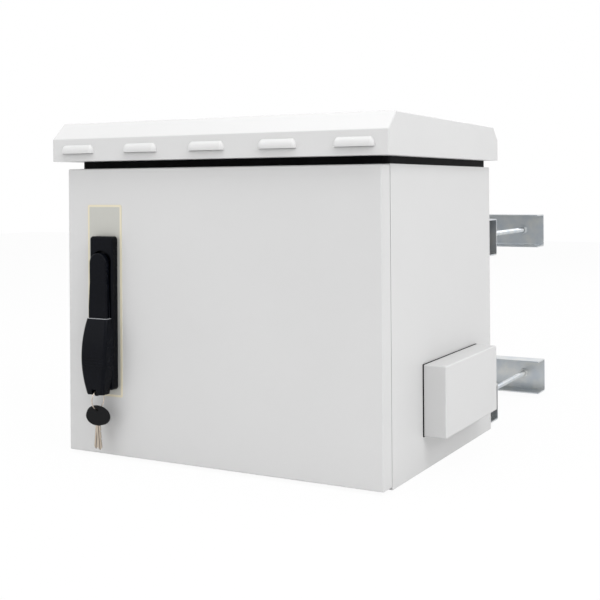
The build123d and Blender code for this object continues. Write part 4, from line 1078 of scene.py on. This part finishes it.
@dataclass
class GasketBead:
    """The foamed gasket inside the door: a soft bead with a domed top."""

    node: str = "door_gasket"
    corner: float = 14.0 * MM
    flat: float = 0.62
    steps: int = 8
    margin: float = 5.0 * MM
    crease: float = 40.0

    def build(self, shop: PaintShop) -> None:
        """Sweeps the bead's section round its path and dresses it.

        Args:
            shop: The paint shop.
        """
        low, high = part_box(self.node)
        half = (high[0] - low[0] - self.inner_width(low, high)) / 4
        section = Workbench.loop("bead_section", self.section(half, high[1] - low[1]))
        bead = Workbench.loop("gasket_bead", self.path(low, high, half))
        bead.data.bevel_mode = "OBJECT"
        bead.data.bevel_object = section
        bead.rotation_euler = (math.pi / 2, 0, 0)
        bead.location = (0, low[1], 0)
        Workbench.hold(bead)
        bpy.ops.object.convert(target="MESH")
        Workbench.settle(bead)
        Workbench.face_out(bead)
        Workbench.smooth(bead, self.crease)
        bpy.data.objects.remove(section)
        shop.dress(bead, Finish.RUBBER, "door", self.node)

    def inner_width(self, low: Vector, high: Vector) -> float:
        """Reads the width of the CAD frame's opening from its corners.

        Args:
            low: The low corner of the frame's box.
            high: The high corner.

        Returns:
            The width.
        """
        points = [vert.co.x for vert in frame["nodes"][self.node].data.vertices]
        middle = [x for x in points if low[0] + self.margin < x < high[0] - self.margin]
        return max(middle) - min(middle)

    def path(self, low: Vector, high: Vector, inset: float) -> Pairs:
        """Gives the bead's middle line: a rectangle with rounded corners.

        Args:
            low: The low corner of the frame's box.
            high: The high corner.
            inset: How far the line lies inside the box.

        Returns:
            The line's points, as X and Z.
        """
        turn = self.corner
        left, right = low[0] + inset + turn, high[0] - inset - turn
        bottom, top = low[2] + inset + turn, high[2] - inset - turn
        corners = ((right, top, 0), (left, top, 90), (left, bottom, 180), (right, bottom, 270))
        points = []
        for x, z, start in corners:
            for step in range(self.steps + 1):
                angle = math.radians(start + 90 * step / self.steps)
                points.append((x + turn * math.cos(angle), z + turn * math.sin(angle)))
        return points

    def section(self, half: float, rise: float) -> Pairs:
        """Gives the bead's section: upright sides and a domed top.

        Args:
            half: Half of the bead's width.
            rise: The bead's height.

        Returns:
            The section's points.
        """
        straight = rise * self.flat
        outline = [(-half, 0.0), (-half, -straight)]
        for step in range(1, self.steps):
            angle = math.pi * (1 - step / self.steps)
            drop = straight + (rise - straight) * math.sin(angle)
            outline.append((half * math.cos(angle), -drop))
        return outline + [(half, -straight), (half, 0.0)]


@dataclass
class HoodGasket:
    """The rubber sheet under the vent hood, which shows as a thin line round it."""

    node: str = "hood_gasket"
    trim: float = 3.2 * MM
    land: float = 17.0 * MM
    edge: float = 0.25 * MM
    crease: float = 40.0

    def build(self, shop: PaintShop) -> None:
        """Models the sheet as a plate with an opening and softened edges.

        Args:
            shop: The paint shop.
        """
        low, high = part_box(self.node)
        middle = (low + high) / 2
        Workbench.clear()
        bpy.ops.mesh.primitive_plane_add(
            size=1, location=(low[0], middle.y, middle.z), rotation=(0, math.pi / 2, 0)
        )
        sheet = Workbench.take("hood_gasket_sheet")
        sheet.scale = (high.z - low.z - 2 * self.trim, high.y - low.y - 2 * self.trim, 1)
        Workbench.settle(sheet)
        Workbench.edit(sheet)
        bpy.ops.mesh.inset(thickness=self.land)
        bpy.ops.mesh.delete(type="FACE")
        bpy.ops.object.mode_set(mode="OBJECT")
        wall = sheet.modifiers.new("thickness", "SOLIDIFY")
        wall.thickness = high[0] - low[0]
        wall.offset = 1.0
        soft = sheet.modifiers.new("soft_edges", "BEVEL")
        soft.width = self.edge
        soft.segments = 2
        soft.limit_method = "ANGLE"
        Workbench.apply_all(sheet)
        lowest = min(vert.co.x for vert in sheet.data.vertices)
        sheet.data.transform(Matrix.Translation(Vector((low[0] - lowest, 0, 0))))
        Workbench.face_out(sheet)
        Workbench.smooth(sheet, self.crease)
        shop.dress(sheet, Finish.RUBBER, "cabinet", self.node)


@dataclass
class FilterPad:
    """The filter fleece: a soft mat that thins out towards the frame's bars."""

    node: str = "filter_mat"
    cuts: int = 31
    pinch: float = 1.6 * MM
    tuft: float = 0.5 * MM
    tuft_size: float = 9 * MM
    side_power: int = 14
    end_power: int = 8
    crease: float = 50.0

    def build(self, shop: PaintShop) -> None:
        """Models the mat from a block, with soft edges and an uneven face.

        Args:
            shop: The paint shop.
        """
        low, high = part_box(self.node)
        middle, half = (low + high) / 2, (high - low) / 2
        Workbench.clear()
        bpy.ops.mesh.primitive_cube_add(size=1, location=tuple(middle))
        mat = Workbench.take("filter_fleece")
        mat.scale = tuple(high - low)
        Workbench.settle(mat)
        Workbench.edit(mat)
        bpy.ops.mesh.subdivide(number_cuts=self.cuts)
        bpy.ops.object.mode_set(mode="OBJECT")
        for vert in mat.data.vertices:
            along = abs(vert.co.y - middle.y) / half.y
            up = abs(vert.co.z - middle.z) / half.z
            edge = max(along ** self.side_power, up ** self.end_power)
            wave = noise.noise(vert.co / self.tuft_size) * self.tuft - self.tuft
            side = 1 if vert.co.x > middle.x else -1
            reach = abs(vert.co.x - middle.x) / half.x
            vert.co.x += side * reach * (wave - self.pinch * edge)
        Workbench.smooth(mat, self.crease)
        shop.dress(mat, Finish.FLEECE, "cabinet", self.node)


@dataclass
class ClampRods:
    """The four threaded rods that draw the channels together."""

    node: str = "clamp_rods"
    radius: float = 5.0 * MM
    root: float = 4.3 * MM
    pitch: float = 1.5 * MM
    flat: float = 0.2
    steps: int = 12
    chamfer: float = 1.0 * MM
    spacing: float = 500.0 * MM
    rise: float = 318.0 * MM
    crease: float = 25.0

    def thread(self, start: Vector, length: float) -> bpy.types.Object:
        """Models one rod: a thread profile that winds along it, closed by chamfered ends.

        Args:
            start: The middle of the rod's front end.
            length: The rod's length.

        Returns:
            The rod, settled.
        """
        Workbench.clear()
        bpy.ops.mesh.primitive_plane_add(size=self.pitch, location=(self.root, 0, self.chamfer))
        rod = Workbench.take("clamp_rod")
        Workbench.edit(rod)
        bpy.ops.mesh.merge(type="CENTER")
        crest = self.pitch * self.flat
        climb = self.pitch / 2 - crest
        depth = self.radius - self.root
        fall = self.pitch - 2 * crest - climb
        for move in ((0, 0, crest), (depth, 0, climb), (0, 0, crest), (-depth, 0, fall)):
            bpy.ops.mesh.extrude_region_move(TRANSFORM_OT_translate={"value": move})
        Workbench.settle(rod)
        turns = int((length - 2 * self.chamfer) / self.pitch) - 1
        Workbench.wind(rod, self.steps, self.pitch, turns)
        self.close_end(rod, 0.0)
        self.close_end(rod, length)
        Workbench.face_out(rod)
        rod.rotation_euler = (-math.pi / 2, 0, 0)
        rod.location = start
        Workbench.settle(rod)
        Workbench.smooth(rod, self.crease)
        return rod

    def close_end(self, rod: bpy.types.Object, height: float) -> None:
        """Closes one end: the open edge loop is drawn to the rod's end plane and filled.

        Args:
            rod: The rod, upright, with its thread made.
            height: The height of the end plane.
        """
        Workbench.edit(rod)
        bpy.ops.mesh.select_all(action="DESELECT")
        bpy.ops.mesh.select_mode(type="EDGE")
        mesh = bmesh.from_edit_mesh(rod.data)
        middle = sum(vert.co.z for vert in mesh.verts) / len(mesh.verts)
        for edge in mesh.edges:
            near = (edge.verts[0].co.z < middle) == (height < middle)
            edge.select_set(edge.is_boundary and near)
        bmesh.update_edit_mesh(rod.data)
        bpy.ops.mesh.extrude_edges_move()
        bpy.ops.transform.resize(value=(1, 1, 0))
        mesh = bmesh.from_edit_mesh(rod.data)
        chosen = [vert for vert in mesh.verts if vert.select]
        level = sum(vert.co.z for vert in chosen) / len(chosen)
        share = (self.root - self.chamfer / 2) / self.root
        for vert in chosen:
            vert.co = Vector((vert.co.x * share, vert.co.y * share, vert.co.z + height - level))
        bmesh.update_edit_mesh(rod.data)
        bpy.ops.mesh.edge_face_add()
        bpy.ops.object.mode_set(mode="OBJECT")

    def build(self, shop: PaintShop) -> None:
        """Models one rod, copies it to its four places and dresses them.

        Args:
            shop: The paint shop.
        """
        low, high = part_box(self.node)
        start = Vector((low[0] + self.radius, low[1], low[2] + self.radius))
        first = self.thread(start, high[1] - low[1])
        first.name = "clamp_rod_lower_left"
        shifts = {
            "lower_right": (self.spacing, 0, 0),
            "upper_left": (0, 0, self.rise),
            "upper_right": (self.spacing, 0, self.rise),
        }
        twins = [Workbench.copy(first, f"clamp_rod_{name}", by) for name, by in shifts.items()]
        for piece in [first] + twins:
            shop.dress(piece, Finish.ZINC, "cabinet", self.node)


@dataclass
class DoorKeys:
    """The two keys on the ring."""

    turns: Tuple[Tuple[str, float], ...] = (("key_front", 5.0), ("key_rear", -5.0))

    def build(self) -> None:
        """Parts each key's material at its neck, below the moulded head."""
        for name, turn in self.turns:
            finish = KeyFinish(turn=turn).material(f"{name}_head_and_blade")
            PaintShop.cover(frame["nodes"][name], finish)
        LOG.info("keys: %d", len(self.turns))


@dataclass
class SlideCover:
    """The grip that slides on the lever, with a painted highlight along its upper rim."""

    node: str = "lock_cover"

    def build(self) -> None:
        """Dresses the grip in its paint, with the painted highlight on its upper rim."""
        # the slide cover gets the painted highlight along its upper rim
        finish = HandlePaint(painted_rim_highlight=True).material("cover_black_painted_highlight")
        PaintShop.cover(frame["nodes"][self.node], finish)
        LOG.info("slide cover dressed")


# ---------------------------------------------------------------- camera and studio


@dataclass
class PhotoCamera:
    """The camera that took the picture, worked out from the cabinet's corners."""

    place: Point = (956.2 * MM, -1735.4 * MM, 461.0 * MM)
    turn: float = 28.4
    roll: float = -0.4
    lens: float = 64.7
    sensor: float = 36.0
    shift_up: float = -0.189
    clip: Tuple[float, float] = (0.05, 60.0)

    def build(self) -> None:
        """Adds the camera and makes it the scene's own."""
        data = bpy.data.cameras.new("photo_camera")
        data.lens = self.lens
        data.sensor_width = self.sensor
        data.shift_y = self.shift_up
        data.clip_start, data.clip_end = self.clip
        camera = add_object("photo_camera", data)
        level = Matrix.Rotation(math.radians(90), 4, "X")
        heading = Matrix.Rotation(math.radians(self.turn), 4, "Z")
        tilt = Matrix.Rotation(math.radians(self.roll), 4, "Z")
        camera.matrix_world = Matrix.Translation(Vector(self.place)) @ heading @ level @ tilt
        bpy.context.scene.camera = camera


@dataclass
class Lamp:
    """One softbox."""

    name: str
    place: Point
    power: float
    size: float
    aim: Point = (0.0, -0.05, 0.25)

    def build(self) -> None:
        """Adds the softbox, turned to its aim."""
        data = bpy.data.lights.new(self.name, "AREA")
        data.energy = self.power
        data.size = self.size
        lamp = add_object(self.name, data)
        lamp.location = self.place
        sight = Vector(self.aim) - Vector(self.place)
        lamp.rotation_euler = sight.to_track_quat("-Z", "Y").to_euler()


@dataclass
class Studio:
    """A pale floor, a white surround and soft lamps."""

    floor_size: float = 14.0
    floor_drop: float = 1.0 * MM
    floor_fleck: float = 50 * MM
    floor_dark: Colour = (0.80, 0.80, 0.80)
    floor_light: Colour = (0.82, 0.82, 0.82)
    floor_roughness: float = 0.9
    eye_glow: float = 0.95
    gloss_glow: float = 0.7
    ambient: float = 0.62
    lamps: List[Lamp] = field(default_factory=lambda: [
        Lamp("top_softbox", (-0.3, -0.6, 3.2), 46.0, 2.6),
        Lamp("front_softbox", (-1.3, -3.0, 1.5), 15.0, 2.2),
        Lamp("side_softbox", (2.9, -1.0, 2.6), 56.0, 2.2),
        Lamp("back_softbox", (0.8, 3.4, 2.2), 22.0, 2.2),
    ])

    def build(self) -> None:
        """Adds the floor, the surround and the lamps."""
        bpy.context.scene.view_settings.view_transform = "Standard"
        self.surround()
        self.floor()
        for lamp in self.lamps:
            lamp.build()
        LOG.info("studio: %d lamps", len(self.lamps))

    def surround(self) -> None:
        """Sets the world: white to the eye and in reflections, a plain level of light elsewhere."""
        bench = NodeBench(bpy.data.worlds.new("studio"))
        bpy.context.scene.world = bench.owner
        bright = bench.rays("Is Glossy Ray").or_more(bench.rays("Is Transmission Ray"))
        seen = bench.rays("Is Camera Ray").or_more(bright)
        light, white = (
            bench.node("ShaderNodeBackground", sockets={"Color": WHITE, "Strength": strength})
            for strength in (self.ambient, 1.0)
        )
        bench.put_out(bench.node("ShaderNodeMixShader", sockets={0: seen, 1: light, 2: white}))

    def floor(self) -> None:
        """Adds the floor: nearly white to the eye, with a soft shadow, and clear from below."""
        Workbench.clear()
        bpy.ops.mesh.primitive_plane_add(size=self.floor_size, location=(0, 0, -self.floor_drop))
        floor = Workbench.take("floor")
        bench = NodeBench.material("floor_paper")
        tone = bench.blend(bench.grain(self.floor_fleck), self.floor_dark, self.floor_light)
        dull: Sockets = {"Base Color": tone, "Roughness": self.floor_roughness}
        paper = bench.node("ShaderNodeBsdfPrincipled", sockets=dull)
        glow = bench.node("ShaderNodeEmission", sockets={"Color": WHITE, "Strength": 1.0})
        eye, gloss = bench.rays("Is Camera Ray"), bench.rays("Is Glossy Ray")
        share = eye * self.eye_glow + gloss * self.gloss_glow
        soft = bench.node("ShaderNodeMixShader", sockets={0: share, 1: paper, 2: glow})
        clear = bench.node("ShaderNodeBsdfTransparent")
        below = bench.node("ShaderNodeNewGeometry", output="Backfacing")
        bench.put_out(bench.node("ShaderNodeMixShader", sockets={0: below, 1: soft, 2: clear}))
        PaintShop.cover(floor, bench.owner)


def main() -> None:
    """Builds the camera, the finishes, the new pieces and the studio in order."""
    logging.basicConfig(level=logging.INFO, format="%(name)s: %(message)s")
    PhotoCamera().build()
    shop = PaintShop()
    LOG.info("dressed %d nodes", shop.dress_nodes())
    ClampRods().build(shop)
    ClampNuts().build(shop)
    GasketBead().build(shop)
    HoodGasket().build(shop)
    FilterPad().build(shop)
    DoorKeys().build()
    SlideCover().build()
    Studio().build()


if __name__ == "__main__":
    main()
